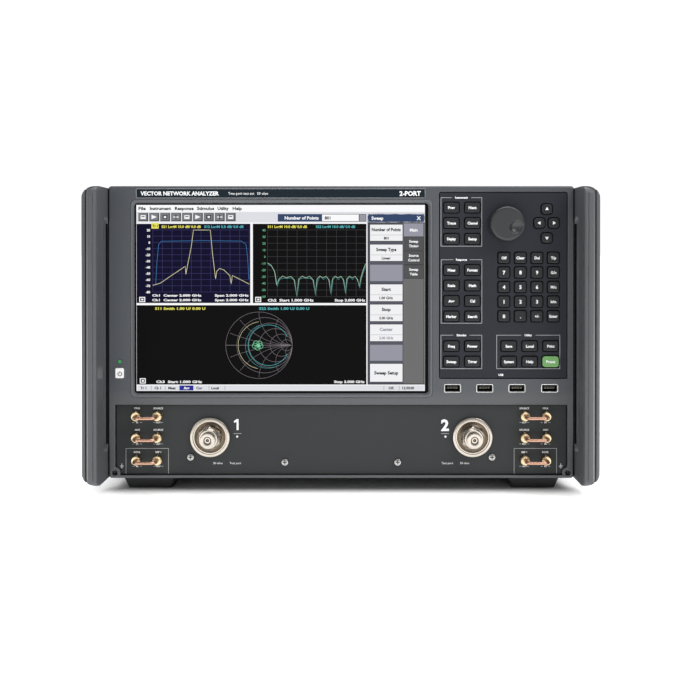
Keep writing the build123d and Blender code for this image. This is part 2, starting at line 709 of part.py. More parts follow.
def fan_housing(x, z):
    """A square fan frame with a round duct, four struts and a pin that carries the rotor."""
    back = PANEL_BACK - PANEL_T
    front = back - FAN_DEPTH
    body = plate(x, z, FAN_SIZE, FAN_SIZE, 5.0, front, back) - disc(x, z, FAN_HOLE_R, front, back)
    body -= [disc(x + dx, z + dz, 2.1, front, back) for dx in FAN_SCREWS for dz in FAN_SCREWS]
    body += disc(x, z, FAN_HUB_R, front, front + 4)
    for angle in (0, 90):
        bar = Pos(x, front + 2, z) * Rot(0, angle, 0) * Box(2 * FAN_HOLE_R + 1, 4, 4)
        body += bar
    return body + disc(x, z, FAN_PIN_R, front + 4, front + 18)


def fan_rotor(x, z):
    """A hub with pitched blades, bored to turn on the housing's pin."""
    back = PANEL_BACK - PANEL_T
    front = back - FAN_DEPTH + 4.5
    length = 17.0
    body = disc(0, 0, FAN_HUB_R - 0.5, front, front + length)
    pitch_angle = 38.0
    reach = FAN_HOLE_R - 1.2
    middle = front + length / 2
    root = FAN_HUB_R - 3.0
    flat = Pos((reach + root) / 2, middle, 0) * Rot(pitch_angle, 0, 0) * Box(reach - root, 1.6, 20.0)
    blades = None
    for i in range(BLADES):
        blade = Rot(0, 360.0 / BLADES * i, 0) * flat
        blades = blade if blades is None else blades + blade
    body += blades & disc(0, 0, reach, front + 0.3, front + length - 0.3)
    body -= disc(0, 0, FAN_PIN_R + FIT, front, front + 14.5)
    return Pos(x, 0, z) * body


def bnc(x):
    """A coaxial bayonet socket: barrel, contact, and the hexagon that bears on the panel."""
    body = disc(x, BNC_Z, BNC_R, PANEL_BACK - PANEL_T - 8, PANEL_BACK + 1)
    body += hexagon(x, BNC_Z, 7.4, PANEL_BACK, PANEL_BACK + 2.2)
    body += disc(x, BNC_Z, BNC_R - 0.5, PANEL_BACK + 1, BNC_TIP - BNC_BARREL)
    body += disc(x, BNC_Z, BNC_R, BNC_TIP - BNC_BARREL, BNC_TIP)
    body -= ring(x, BNC_Z, BNC_R - 0.7, 2.4, BNC_TIP - 7, BNC_TIP)
    return body - disc(x, BNC_Z, 1.1, BNC_TIP - 5, BNC_TIP)


def d_socket(x, z, w, h):
    """A shielded multi-way socket with a raised insert and two jack posts."""
    front = PANEL_BACK - PANEL_T - 8
    body = plate(x, z, w, h, 1.0, front, PANEL_BACK)
    body += plate(x, z, w - 2, h - 1, 3.0, PANEL_BACK, PANEL_BACK + 5.5)
    body -= plate(x, z, w - 3.4, h - 2.4, 2.4, PANEL_BACK + 0.5, PANEL_BACK + 5.5)
    return body + plate(x, z, w - 8, h - 6.5, 1.2, PANEL_BACK + 0.5, PANEL_BACK + 5.0)


def io_socket(x, z, w, h):
    """An open rectangular data socket."""
    front = PANEL_BACK - PANEL_T - 14
    body = plate(x, z, w, h, 0.9, front, PANEL_BACK + 0.8)
    return body - plate(x, z, w - 1.6, h - 1.6, 0.6, front + 2, PANEL_BACK + 0.8)


def power_inlet():
    """A mains inlet: a moulded flange, a recess and three blades."""
    x, z, w, h = INLET
    front = PANEL_BACK - PANEL_T - 18
    body = plate(x, z, w, h, 2.0, front, PANEL_BACK)
    body += plate(x, z, w + 20, h + 4, 3.0, PANEL_BACK, PANEL_BACK + 2.5)
    body -= plate(x, z, w - 3.5, h - 4.5, 2.4, PANEL_BACK - 14, PANEL_BACK + 2.5)
    for dx, dz in ((-7.0, -1.6), (0.0, 2.4), (7.0, -1.6)):
        body += block(x + dx - 1, x + dx + 1, PANEL_BACK - 14, PANEL_BACK - 1, z + dz - 2, z + dz + 2)
    return body


def ssd_caddy():
    """The removable drive's caddy: a drive box and a face plate with a thumb screw."""
    x, z, w, h = CADDY
    front = PANEL_BACK - PANEL_T - CADDY_LENGTH
    seat = PANEL_BACK + 0.1
    face = seat + 2.0
    body = block(x - w / 2, x + w / 2, front, seat, z - h / 2, z + h / 2)
    body += plate(*grown(CADDY, CADDY_LIP), 1.5, seat, face)
    body += disc(x - w / 2 + 10, z, 5.0, face, face + 6.9)
    grip = (x + 16, z, 30, 10)
    body += plate(*grip, 2.0, face, face + 2.9)
    return body - plate(*grown(grip, -2), 1.5, face + 0.5, face + 2.9)


# ---------------------------------------------------------------- inside
def power_supply():
    """A closed supply box with a lid step, behind the mains inlet."""
    x0, x1 = -200.0, -112.0
    y0, y1 = 70.0, PANEL_BACK - PANEL_T - 20
    z0, z1 = FLOOR + 5.5, 128.0
    body = block(x0, x1, y0, y1, z0, z1)
    body = fillet(body.edges().filter_by(Axis.Z), 2.0)
    body -= block(x0 + 1.5, x1 - 1.5, y0 + 1.5, y1 - 1.5, z0 + 1.5, z1 - 1.5)
    return body


def main_board():
    """The mother board on the deck with its heat sink and memory."""
    z = FLOOR + 5.5
    board = block(-190, 190, -60, 60, z + 6, z + 7.6)
    for x in (-180, -60, 60, 180):
        for y in (-52, 52):
            board += Pos(x, y, z + 3) * Cylinder(3.0, 6.0)
    for i in range(9):
        fin = -40 + i * 6.0
        board += block(fin, fin + 2, -28, 28, z + 7.6, z + 32)
    board += block(-42, 12, -28, 28, z + 7.6, z + 11)
    for i in range(3):
        board += block(60 + i * 14, 64 + i * 14, -50, 50, z + 7.6, z + 36)
    return board


def rf_modules():
    """Milled receiver and source modules, stood on the deck behind the ports."""
    z = FLOOR + 5.5
    modules = []
    width = 58.0
    wall = 4.0
    for x, height in ((39.0, 84.0), (103.0, 70.0), (167.0, 92.0)):
        for middle in (-x, x):
            x0, x1 = middle - width / 2, middle + width / 2
            module = block(x0, x1, -205, -80, z, z + height)
            module = fillet(module.edges().filter_by(Axis.Z), 2.0)
            module -= block(x0 + wall, x1 - wall, -205 + wall, -80 - wall, z + wall, z + height - 6)
            modules.append(module)
    return modules


# ---------------------------------------------------------------- write every node
def main():
    os.makedirs("parts", exist_ok=True)
    sides = (-1, 1)

    save("front_frame", front_frame())
    save("screen_bezel", screen_bezel())
    save("display_glass", plate(*GLASS, 1.8, GLASS_FRONT, GLASS_BACK))
    save("display_module", display_module())

    places = key_places()
    save("keypad_panel", keypad_panel(places))
    save("keypad_mat", keypad_mat(places))
    save("front_board", front_board())
    for name, caps in places.items():
        save(name, *[key_cap(*cap, key_corner(name)) for cap in caps])
    save("power_button", power_button())
    save("knob", knob())
    save("knob_encoder", knob_encoder())

    save("port_panel", port_panel())
    save("port_flanges", *[port_flange(side * PORT_X) for side in sides])
    save("port_connectors", *[port_connector(side * PORT_X) for side in sides])
    save("jumper_jacks", *[jumper_jack(x, z) for x in both_sides(JACK_X) for z in JACK_Z])
    links = [(-JACK_X[1], -JACK_X[0], z) for z in JACK_Z] + [(*JACK_X, z) for z in JACK_Z]
    save("jumper_links", *[jumper_link(*link) for link in links])
    save("usb_sockets", *[usb_socket(x) for x in USB_X])
    save("status_lights", *status_lights())
    save("panel_screws", *[panel_screw(x, z) for x, z in PANEL_SCREWS])

    save("handle_left", handle(-1))
    save("handle_right", handle(1))
    save("handle_screws", *[handle_screw(side, z) for side in sides for z in HANDLE_SCREW_Z])
    save("outer_cover", outer_cover())
    save("chassis_tray", chassis_tray())
    feet = [foot(side, *FRONT_FOOT, True) for side in sides]
    feet += [foot(side, *REAR_FOOT, False) for side in sides]
    save("feet", *feet)
    save("tilt_stand_left", tilt_stand(-1))
    save("tilt_stand_right", tilt_stand(1))

    save("rear_panel", rear_panel())
    save("rear_bumpers", *[rear_bumper(side, up) for side in sides for up in (False, True)])
    save("fan_housings", *[fan_housing(*centre) for centre in FANS.values()])
    for name, centre in FANS.items():
        save(f"fan_rotor_{name}", fan_rotor(*centre))
    rear = [bnc(x) for x in BNC_X] + [d_socket(*place) for place in D_SOCKETS]
    rear += [io_socket(*place) for place in IO_SOCKETS]
    save("rear_connectors", *rear)
    save("power_inlet", power_inlet())
    save("ssd_caddy", ssd_caddy())
    save("power_supply", power_supply())
    save("main_board", main_board())
    save("rf_modules", *rf_modules())


main()
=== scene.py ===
import math

import bmesh
import bpy
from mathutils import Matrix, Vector


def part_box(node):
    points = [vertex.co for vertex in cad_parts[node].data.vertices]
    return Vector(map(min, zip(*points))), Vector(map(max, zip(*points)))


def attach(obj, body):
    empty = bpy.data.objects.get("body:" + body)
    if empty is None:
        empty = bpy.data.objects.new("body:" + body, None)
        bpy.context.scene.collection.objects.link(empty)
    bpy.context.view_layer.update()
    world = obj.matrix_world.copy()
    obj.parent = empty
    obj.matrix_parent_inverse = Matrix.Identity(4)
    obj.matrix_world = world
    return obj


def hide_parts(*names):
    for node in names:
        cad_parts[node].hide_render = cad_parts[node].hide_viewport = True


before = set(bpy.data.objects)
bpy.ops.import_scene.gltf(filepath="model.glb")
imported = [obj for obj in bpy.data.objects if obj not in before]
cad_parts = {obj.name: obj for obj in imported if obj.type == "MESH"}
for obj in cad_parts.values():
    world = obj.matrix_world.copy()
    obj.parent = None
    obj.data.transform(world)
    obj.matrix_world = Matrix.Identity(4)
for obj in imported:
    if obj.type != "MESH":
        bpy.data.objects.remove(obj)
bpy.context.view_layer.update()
MM = 0.001

# Planes and edges read from the frame
front_low, front_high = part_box("front_frame")
FACE = front_low.y + 0.7 * MM  # front plane of the cabinet, behind the power button's lip
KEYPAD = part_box("keypad_panel")[0].y
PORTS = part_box("port_panel")[0].y
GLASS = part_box("display_glass")[0].y


def srgb(r, g, b):
    """Linear colour of an 8-bit display colour."""
    return tuple(c / 255 / 12.92 if c <= 10 else ((c / 255 + 0.055) / 1.055) ** 2.4 for c in (r, g, b))


def placed(name, data):
    """A new object in the scene."""
    piece = bpy.data.objects.new(name, data)
    bpy.context.scene.collection.objects.link(piece)
    return piece


# ---------------- node materials
class Nodes:
    """A new node material, with short ways to wire its usual nodes."""

    def __init__(self, name):
        self.material = bpy.data.materials.new(name)
        self.material.use_nodes = True
        self.tree = self.material.node_tree
        self.coords = self.add("TexCoord").outputs["Object"]

    def feed(self, node, inputs):
        """Fix inputs at numbers or colours, or link them to other sockets."""
        for key, value in inputs.items():
            socket = node.inputs[key]
            if isinstance(value, bpy.types.NodeSocket):
                self.tree.links.new(value, socket)
            else:
                socket.default_value = (*value, 1) if socket.type == "RGBA" else value

    def add(self, kind, inputs=None, **settings):
        node = self.tree.nodes.new("ShaderNode" + kind)
        for key, value in settings.items():
            setattr(node, key, value)
        self.feed(node, inputs or {})
        return node

    def noise(self, scale, detail=3.0, stretch=(1, 1, 1)):
        place = self.add("Mapping", {"Vector": self.coords, "Scale": stretch}).outputs["Vector"]
        return self.add("TexNoise", {"Vector": place, "Scale": scale, "Detail": detail}).outputs["Fac"]

    def spread(self, value, low, high, start=0.0, end=1.0):
        """start..end of a value mapped to low..high."""
        inputs = {"Value": value, "From Min": start, "From Max": end, "To Min": low, "To Max": high}
        return self.add("MapRange", inputs).outputs["Result"]

    def toned(self, colour, value, vary):
        """A colour whose brightness follows a value by plus or minus vary."""
        inputs = {"Color": colour, "Value": self.spread(value, 1 - vary, 1 + vary)}
        return self.add("HueSaturation", inputs).outputs["Color"]

    def mix(self, factor, first, lit_band):
        inputs = {"Factor": factor, "A": first, "B": lit_band}
        return self.add("Mix", inputs, data_type="RGBA").outputs["Result"]

    def rounded(self, radius):
        return self.add("Bevel", {"Radius": radius}, samples=6).outputs["Normal"]

    def edges(self, radius):
        """1 on sharp edges and 0 on flat faces."""
        flat = self.add("NewGeometry").outputs["Normal"]
        dot = self.add("VectorMath", {0: self.rounded(radius), 1: flat}, operation="DOT_PRODUCT")
        return self.spread(dot.outputs["Value"], 0.0, 1.0, 0.995, 0.86)

    def bump(self, height, strength, distance, radius):
        """Fine relief on a normal that rounds sharp edges by the radius, if there is one."""
        inputs = {"Height": height, "Strength": strength, "Distance": distance}
        if radius:
            inputs["Normal"] = self.rounded(radius)
        return self.add("Bump", inputs).outputs["Normal"]

    def finish(self, **inputs):
        """The material, with these inputs on its shader; an underscore stands for a space."""
        inputs = {key.replace("_", " "): value for key, value in inputs.items()}
        self.feed(self.tree.nodes["Principled BSDF"], inputs)
        return self.material


EDGE_RADIUS = 0.0007  # how far worn paint and the painted edge highlight reach from a sharp edge, in metres
SOFT_RADIUS = 0.0006  # rounding of painted and moulded edges
GRAIN_SCALE, SLOW_SCALE = 1400.0, 14.0
# lighter edge colour: partly worn paint, partly a painted highlight
WORN_AND_LIT_EDGE = (150, 152, 156)


def coated(name, shade, roughness=0.45, specular=0.5, wear_and_sheen=0.0, lit_band=None):
    """Paint, plastic or rubber: fine grain, slow changes in tone and gloss, and lighter edges, partly worn
    paint and partly a painted highlight.

    The band (axis, from, to, shade) is a lighter shade that takes over along an axis, in metres: a painted
    highlight."""
    n = Nodes(name)
    fine = n.noise(GRAIN_SCALE, 2.0)
    slow = n.noise(SLOW_SCALE, 4.0)
    colour = srgb(*shade)
    # painted highlight: a lighter shade takes over along one axis
    if lit_band:
        axis, start, end, other = lit_band
        height = n.add("SeparateXYZ", {0: n.coords}).outputs[axis]
        colour = n.mix(n.spread(height, 0.0, 1.0, start, end), colour, srgb(*other))
    tone = n.toned(colour, slow, 0.06)
    # lighter sharp edges: partly worn paint, partly a painted highlight
    if wear_and_sheen:
        tone = n.mix(n.spread(n.edges(EDGE_RADIUS), 0.0, wear_and_sheen), tone, srgb(*WORN_AND_LIT_EDGE))
    return n.finish(Base_Color=tone, Roughness=n.spread(slow, roughness - 0.06, roughness + 0.06),
                    Normal=n.bump(fine, 0.25, 0.00012, SOFT_RADIUS), Specular_IOR_Level=specular)


def metal(name, colour, roughness=0.28, soft=0.0004):
    """Turned or plated metal with fine tool marks and slight tarnish."""
    n = Nodes(name)
    marks = n.noise(900.0, 2.0, (1.0, 0.05, 1.0))
    return n.finish(Base_Color=n.toned(colour, n.noise(160.0), 0.12), Metallic=1.0,
                    Roughness=n.spread(marks, roughness - 0.08, roughness + 0.1),
                    Normal=n.bump(marks, 0.2, 0.00005, soft))


def printed(name, shade, roughness=0.6, specular=0.5):
    """Ink, film or a painted gap shadow, too thin for grain of its own: only its tone changes slowly."""
    n = Nodes(name)
    return n.finish(Base_Color=n.toned(srgb(*shade), n.noise(SLOW_SCALE, 4.0), 0.02), Roughness=roughness,
                    Specular_IOR_Level=specular)


def glowing(name, shade):
    """A lit colour with the fine unevenness of a screen or a lens."""
    n = Nodes(name)
    return n.finish(Base_Color=(0.002, 0.002, 0.002), Roughness=0.5, Specular_IOR_Level=0.02,
                    Emission_Color=n.toned(srgb(*shade), n.noise(2600.0, 0.0), 0.03), Emission_Strength=1.0)


LIT_LOWER_BAND = ("Z", 0.095, 0.086, (78, 80, 83))  # painted highlight: the front frame is lighter below these heights
# the lighter edges on these materials are partly worn paint and partly a painted highlight
casting = coated("casting_paint", (68, 71, 76), 0.42, wear_and_sheen=0.4, lit_band=LIT_LOWER_BAND)
trim = coated("bezel_paint", (86, 89, 93), 0.38, wear_and_sheen=0.6)
handle_paint = coated("handle_paint", (75, 77, 80), 0.36, wear_and_sheen=0.35)
cover_paint = coated("cover_paint", (82, 84, 88), 0.42)
keypad_plastic = coated("keypad_plastic", (41, 43, 49), 0.5, specular=0.15)
port_paint = coated("port_panel_paint", (53, 55, 56), 0.5, specular=0.15)
key_rubber = coated("key_rubber", (33, 35, 38), 0.42, specular=0.25, wear_and_sheen=0.85)
green_rubber = coated("green_key", (104, 158, 88), 0.45)
white_plastic = coated("white_key", (243, 243, 241), 0.35)
knob_rubber = coated("knob_rubber", (42, 43, 45), 0.3, specular=0.5)
foot_plastic = coated("foot_plastic", (34, 34, 35), 0.55)
rear_paint = coated("rear_paint", (150, 151, 150), 0.42)
# black plastic and print, and also painted shade in the socket mouths, the screw recesses and the rings
# around the screw heads
black_plastic_and_shade = coated("black_plastic_and_shade", (20, 20, 21), 0.4)
mat_rubber = coated("mat_rubber", (60, 60, 60), 0.7)
board_green = coated("circuit_board", (14, 74, 40), 0.35)
sheet_metal = metal("module_metal", (0.55, 0.56, 0.57), 0.4)
nickel = metal("port_nickel", (0.50, 0.455, 0.40), 0.2, soft=0)
gold = metal("gold_brass", (0.66, 0.53, 0.33), 0.22, soft=0)
copper = metal("loop_copper", (0.55, 0.32, 0.23), 0.28, soft=0)
steel = metal("bright_steel", (0.62, 0.62, 0.61), 0.22)
label_ink = printed("label_ink", (236, 237, 238))
outline_ink = printed("outline_ink", (168, 170, 173))
# painted shadow: dark in the gaps around keys and panels and beside the handles
gap_shadow_black = printed("gap_shadow_black", (14, 14, 15), 0.7, 0.03)
lens = glowing("light_lens", (62, 158, 84))
screw_steel = metal("screw_steel", (0.42, 0.42, 0.41), 0.26)


def glass_material():
    n = Nodes("screen_glass")
    return n.finish(Base_Color=n.toned((0.004, 0.004, 0.005), n.noise(40.0), 0.1),
                    Roughness=n.spread(n.noise(30.0), 0.12, 0.2), Specular_IOR_Level=0.15)


MATERIALS = {
    casting: "front_frame",
    trim: "screen_bezel",
    glass_material(): "display_glass",
    sheet_metal: "display_module knob_encoder chassis_tray power_supply rf_modules ssd_caddy",
    keypad_plastic: "keypad_panel",
    mat_rubber: "keypad_mat",
    board_green: "front_board main_board",
    port_paint: "port_panel",
    nickel: "port_flanges port_connectors",
    gold: "jumper_jacks jumper_links",
    steel: "usb_sockets rear_connectors tilt_stand_left tilt_stand_right",
    screw_steel: "panel_screws handle_screws",
    lens: "status_lights",
    handle_paint: "handle_left handle_right",
    cover_paint: "outer_cover",
    foot_plastic: "feet rear_bumpers",
    rear_paint: "rear_panel",
    black_plastic_and_shade: "fan_housings power_inlet fan_rotor_inner fan_rotor_outer",
    green_rubber: "preset_key",
    white_plastic: "power_button",
    knob_rubber: "knob",
}


def paint_nodes():
    """Give every CAD node its material; the keys that are named nowhere else are key rubber."""
    chosen = {name: material for material, names in MATERIALS.items() for name in names.split()}
    for name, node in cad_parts.items():
        node.data.materials.clear()
        node.data.materials.append(chosen.get(name, key_rubber))


paint_nodes()


# ---------------- flat inks
INK = 0.03 * MM  # thickness of a printed or lit shape
_glyphs = {}


def glyphs(text, bold):
    """Points and faces of a solid text with a cap height of one, and its left and right edge."""
    if (text, bold) not in _glyphs:
        curve = bpy.data.curves.new("text", "FONT")
        curve.body = text
        curve.size = 1 / 0.73
        curve.resolution_u = 2
        curve.offset = 0.05 if bold else 0.0
        curve.extrude = 0.5
        holder = placed("text", curve)
        bpy.context.view_layer.update()
        mesh = bpy.data.meshes.new_from_object(holder)
        points = [v.co.copy() for v in mesh.vertices]
        faces = [tuple(p.vertices) for p in mesh.polygons]
        _glyphs[text, bold] = (points, faces, min(p.x for p in points), max(p.x for p in points))
        bpy.data.objects.remove(holder)
        bpy.data.meshes.remove(mesh)
    return _glyphs[text, bold]


class Ink:
    """Thin shapes of one colour in front of a plane that faces the viewer at -Y, or at +Y behind.

    Places are in millimetres: to the right and up from the origin, or down where up is -1."""

    def __init__(self, name, material, y, body="chassis", origin=(0.0, 0.0), up=1, behind=False):
        self.name, self.material, self.body = name, material, body
        self.y, self.origin, self.up, self.behind = y, origin, up, behind
        self.points, self.faces = [], []

    def place(self, x, z, lift):
        x = self.origin[0] + x * MM
        z = self.origin[1] + self.up * z * MM
        return (-x, self.y + lift, z) if self.behind else (x, self.y - lift, z)

    def shape(self, outline):
        """A thin prism on this outline, which runs anticlockwise where up is 1."""
        if self.up < 0:
            outline = outline[::-1]
        first, n = len(self.points), len(outline)
        self.points += [self.place(x, z, 0) for x, z in outline]
        self.points += [self.place(x, z, INK) for x, z in outline]
        self.faces.append(tuple(range(first + n, first + 2 * n)))
        self.faces.append(tuple(range(first + n - 1, first - 1, -1)))
        for i in range(n):
            j = (i + 1) % n
            self.faces.append((first + i, first + j, first + n + j, first + n + i))

    def box(self, x0, x1, z0, z1):
        self.shape([(x0, z0), (x1, z0), (x1, z1), (x0, z1)])

    def disc(self, x, z, r, steps=28):
        turn = 2 * math.pi / steps
        self.shape([(x + r * math.cos(i * turn), z + r * math.sin(i * turn)) for i in range(steps)])

    def line(self, route, width, closed=False):
        """A ribbon along a route."""
        count = len(route)
        left, right = [], []
        for i, here in enumerate(route):
            before = route[i - 1] if i or closed else here
            after = route[(i + 1) % count] if i < count - 1 or closed else here
            along = Vector((after[0] - before[0], after[1] - before[1])).normalized()
            side = Vector((-along.y, along.x)) * width / 2
            left.append((here[0] + side.x, here[1] + side.y))
            right.append((here[0] - side.x, here[1] - side.y))
        for i in range(count if closed else count - 1):
            j = (i + 1) % count
            self.shape([right[i], right[j], left[j], left[i]])

    def arc(self, x, z, r, width, start=0.0, end=360.0, steps=36):
        """A ring, or part of one; the angles are in degrees from the right, anticlockwise."""
        closed = end - start >= 360
        count = steps if closed else steps + 1
        angles = [math.radians(start + (end - start) * i / steps) for i in range(count)]
        self.line([(x + r * math.cos(a), z + r * math.sin(a)) for a in angles], width, closed)

    def frame(self, x0, x1, z0, z1, width, gap=None):
        """A rectangular outline; gap is a stretch of its top that stays open."""
        self.box(x0, x1, z0, z0 + width)
        self.box(x0, x0 + width, z0 + width, z1 - width)
        self.box(x1 - width, x1, z0 + width, z1 - width)
        for left, right in [(x0, gap[0]), (gap[1], x1)] if gap else [(x0, x1)]:
            self.box(left, right, z1 - width, z1)

    def text(self, words, x, z, height, align="centre", bold=True, wide=1.0, length=0):
        """Words with this cap height, centred on z; length, where given, is how long the line is."""
        points, faces, low, high = glyphs(words, bold)
        if length:
            wide = length / ((high - low) * height)
        start = {"centre": (low + high) / 2, "left": low, "right": high}[align]
        first = len(self.points)
        for p in points:
            across = x + (p.x - start) * height * wide
            self.points.append(self.place(across, z + self.up * (p.y - 0.5) * height, INK if p.z > 0 else 0))
        self.faces += [tuple(first + i for i in face) for face in faces]

    def make(self):
        mesh = bpy.data.meshes.new(self.name)
        mesh.from_pydata(self.points, [], self.faces)
        mesh.materials.append(self.material)
        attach(placed(self.name, mesh), self.body)


# ---------------- the picture on the screen
SCREEN_CORNER = (-187.2 * MM, 262.7 * MM)  # upper left corner of the lit area
SCREEN_SIZE = (263.6, 170.0)
SCREEN_LIFT = 0.02
LAYER_STEP = 0.05  # millimetres between two layers, so that nothing lies in one plane
COLOURS = {
    "white": (250, 250, 252), "key": (241, 241, 244), "pale": (222, 223, 229), "grey": (150, 151, 163),
    "slate": (88, 90, 100), "side": (111, 111, 111), "dark": (84, 84, 86), "navy": (13, 12, 42),
    "header": (54, 72, 106), "black": (9, 9, 10), "ink": (8, 8, 12), "yellow": (232, 226, 96),
    "cyan": (84, 176, 180), "green": (120, 206, 160), "purple": (66, 60, 112), "grid": (66, 66, 70),
    "blue": (60, 118, 176), "trace": (226, 222, 176), "lobe": (172, 206, 176), "chart": (128, 120, 126),
    "tab": (46, 48, 142), "button": (126, 126, 130),
}
ROUTE_STEPS = 3  # points along each straight span of a trace
GRID_STEPS = 10
GRID_WIDTH = 0.3


def smooth_route(corners):
    """Points along straight spans between corners, for a thin trace."""
    n = ROUTE_STEPS
    route = []
    for (u0, v0), (u1, v1) in zip(corners, corners[1:]):
        route += [(u0 + (u1 - u0) * i / n, v0 + (v1 - v0) * i / n) for i in range(n)]
    return route + [corners[-1]]


def graph_grid(layer, u0, u1, v0, v1):
    half = GRID_WIDTH / 2
    for i in range(GRID_STEPS + 1):
        u = u0 + (u1 - u0) * i / GRID_STEPS
        v = v0 + (v1 - v0) * i / GRID_STEPS
        layer.box(u - half, u + half, v0, v1)
        layer.box(u0, u1, v - half, v + half)


def draw_screen():
    layers = {}

    def on(level, colour):
        """The ink of one colour at one level, made when it is first asked for."""
        if (level, colour) not in layers:
            y = GLASS - (SCREEN_LIFT + level * LAYER_STEP) * MM
            glow = glowing(f"screen_{colour}_{level}", COLOURS[colour])
            layers[level, colour] = Ink(f"screen_{colour}_{level}", glow, y, origin=SCREEN_CORNER, up=-1)
        return layers[level, colour]

    for draw in (draw_fields, draw_toolbar, draw_softkeys, draw_graph_words, draw_traces, draw_chart):
        draw(on)
    for ink in layers.values():
        ink.make()


def draw_fields(on):
    """Flat areas: the panes, the menu, the tool row, the softkey column and the status row."""
    wide, tall = SCREEN_SIZE
    for level, colour, *edges in (
        (0, "black", -1.5, wide + 2.9, -1.5, tall + 1.9), (1, "white", 0, wide, 0, tall),
        (2, "pale", 0.2, wide - 0.2, 6.4, 16.0), (2, "black", 211.2, wide - 0.2, 8.0, 164.2),
        (3, "slate", 211.9, 244.0, 16.6, 163.4), (3, "side", 244.0, wide - 1.0, 16.6, 163.4),
        (3, "header", 211.9, wide - 1.0, 8.6, 15.4), (2, "black", 0.2, 104.1, 17.2, 89.6),
        (3, "navy", 0.7, 103.6, 17.7, 89.1), (2, "black", 106.4, 210.2, 17.2, 89.6),
        (2, "black", 0.2, 210.2, 91.6, 164.2), (3, "header", 129.2, 169.4, 8.3, 15.2),
        (3, "black", 169.4, 203.4, 8.3, 15.2), (4, "white", 169.7, 203.1, 8.7, 14.8),
        (3, "black", 203.6, 210.0, 8.3, 15.2), (4, "grey", 204.0, 209.6, 8.7, 14.8),
        (2, "pale", 0.6, wide - 0.6, 165.0, 169.6), (3, "tab", 39.4, 52.0, 165.0, 169.6),
    ):
        on(level, colour).box(*edges)
    for u in (13.2, 26.0, 38.8, 66.0, 80.6, 226.0, 240.0):
        on(3, "grey").box(u, u + 0.4, 165.3, 169.3)


def draw_toolbar(on):
    """Nine tool buttons with four kinds of sign, and the words of the menu and the two bars."""
    for i in range(9):
        u = 1.9 + i * 10.0
        on(3, "black").box(u, u + 8.8, 7.3, 14.9)
        on(4, "button").box(u + 0.4, u + 7.9, 7.7, 14.2)
        kind = i % 4
        if kind == 0:
            on(5, "white").box(u + 2, u + 6.6, 9.4, 12.8)
            on(6, "ink").box(u + 2.8, u + 5.8, 10.3, 11.1)
        elif kind == 1:
            on(5, "white").shape([(u + 2, 13), (u + 6.8, 11), (u + 2, 9)])
        elif kind == 2:
            on(6, "ink").frame(u + 2.2, u + 6.4, 9.1, 13.0, 0.6)
            on(5, "white").box(u + 3.4, u + 5.2, 10.2, 11.9)
        else:
            on(5, "white").box(u + 1.8, u + 6.8, 10.6, 11.5)
            on(6, "ink").box(u + 3.9, u + 4.7, 9.0, 13.2)
    ink = on(4, "ink")
    for u, word, length in ((2.0, "File", 6.6), (12.4, "Instrument", 19.4), (35.2, "Response", 17.2),
                            (55.4, "Stimulus", 15.8), (74.2, "Utility", 10.2), (88.0, "Help", 8.4)):
        ink.text(word, u, 3.1, 2.9, "left", length=length)
    on(5, "ink").text("801", 172.0, 11.8, 2.9, "left")
    on(4, "white").text("Number of Points", 151.0, 11.8, 2.9, length=31.0)
    on(4, "white").text("Sweep", 214.8, 12.0, 3.0, "left")
    on(4, "white").text("X", 258.0, 12.0, 3.4)
    for u, word in ((3.5, "Tr 1"), (16.4, "Ch 1"), (29.0, "Meas"), (54.6, "Cor"), (68.4, "Local"),
                    (243.0, "12:30:00"), (230.4, "OK")):
        ink.text(word, u, 167.3, 2.4, "left")
    on(4, "white").text("Avg", 45.7, 167.3, 2.4)


def draw_softkeys(on):
    """The column of keys at the right: pale keys with a label over a value, and empty grey ones."""
    labels = {(18.0, 32.8): ("Number of Points", "801", 26.5), (36.2, 51.2): ("Sweep Type", "Linear", 18.5),
              (72.6, 87.9): ("Start", "1.00 GHz", 8.6), (91.0, 106.2): ("Stop", "3.00 GHz", 8.2),
              (109.2, 124.5): ("Center", "2.00 GHz", 0), (145.2, 161.6): ("Sweep Setup", "", 0)}
    for (v0, v1), (upper, lower, bold) in labels.items():
        on(4, "black").box(212.9, 243.6, v0 - 0.4, v1 + 0.4)
        on(5, "key").box(213.5, 243.2, v0, v1)
        words = on(6, "ink" if bold or not lower else "grey")
        if lower:
            on(6, "grey").box(214.0, 242.8, v0 + 9.3, v0 + 9.6)
            words.text(upper, 228.3, v0 + 4.4, 3.0, length=bold)
            words.text(lower, 228.3, v0 + 12.3, 2.4)
        else:
            words.text(upper, 228.3, (v0 + v1) / 2, 3.0, length=22.0)
    for v0, v1 in ((54.6, 69.6), (127.8, 142.4)):
        on(4, "dark").box(212.9, 243.6, v0 - 0.3, v1 + 0.3)
        on(5, "grey").box(213.5, 243.2, v0, v1)
    on(4, "grey").box(244.4, 262.2, 16.9, 28.6)
    on(5, "white").text("Main", 253.4, 22.8, 2.8)
    for v, lines in ((35.3, ("Sweep", "Timing")), (48.2, ("Source", "Control")), (61.0, ("Sweep", "Table"))):
        on(4, "ink").box(244.4, 262.2, v - 6.3, v + 6.3)
        on(5, "dark").box(244.6, 262.0, v - 6.0, v + 6.0)
        for word, shift in zip(lines, (-2.1, 2.1)):
            on(6, "white").text(word, 253.4, v + shift, 2.3)


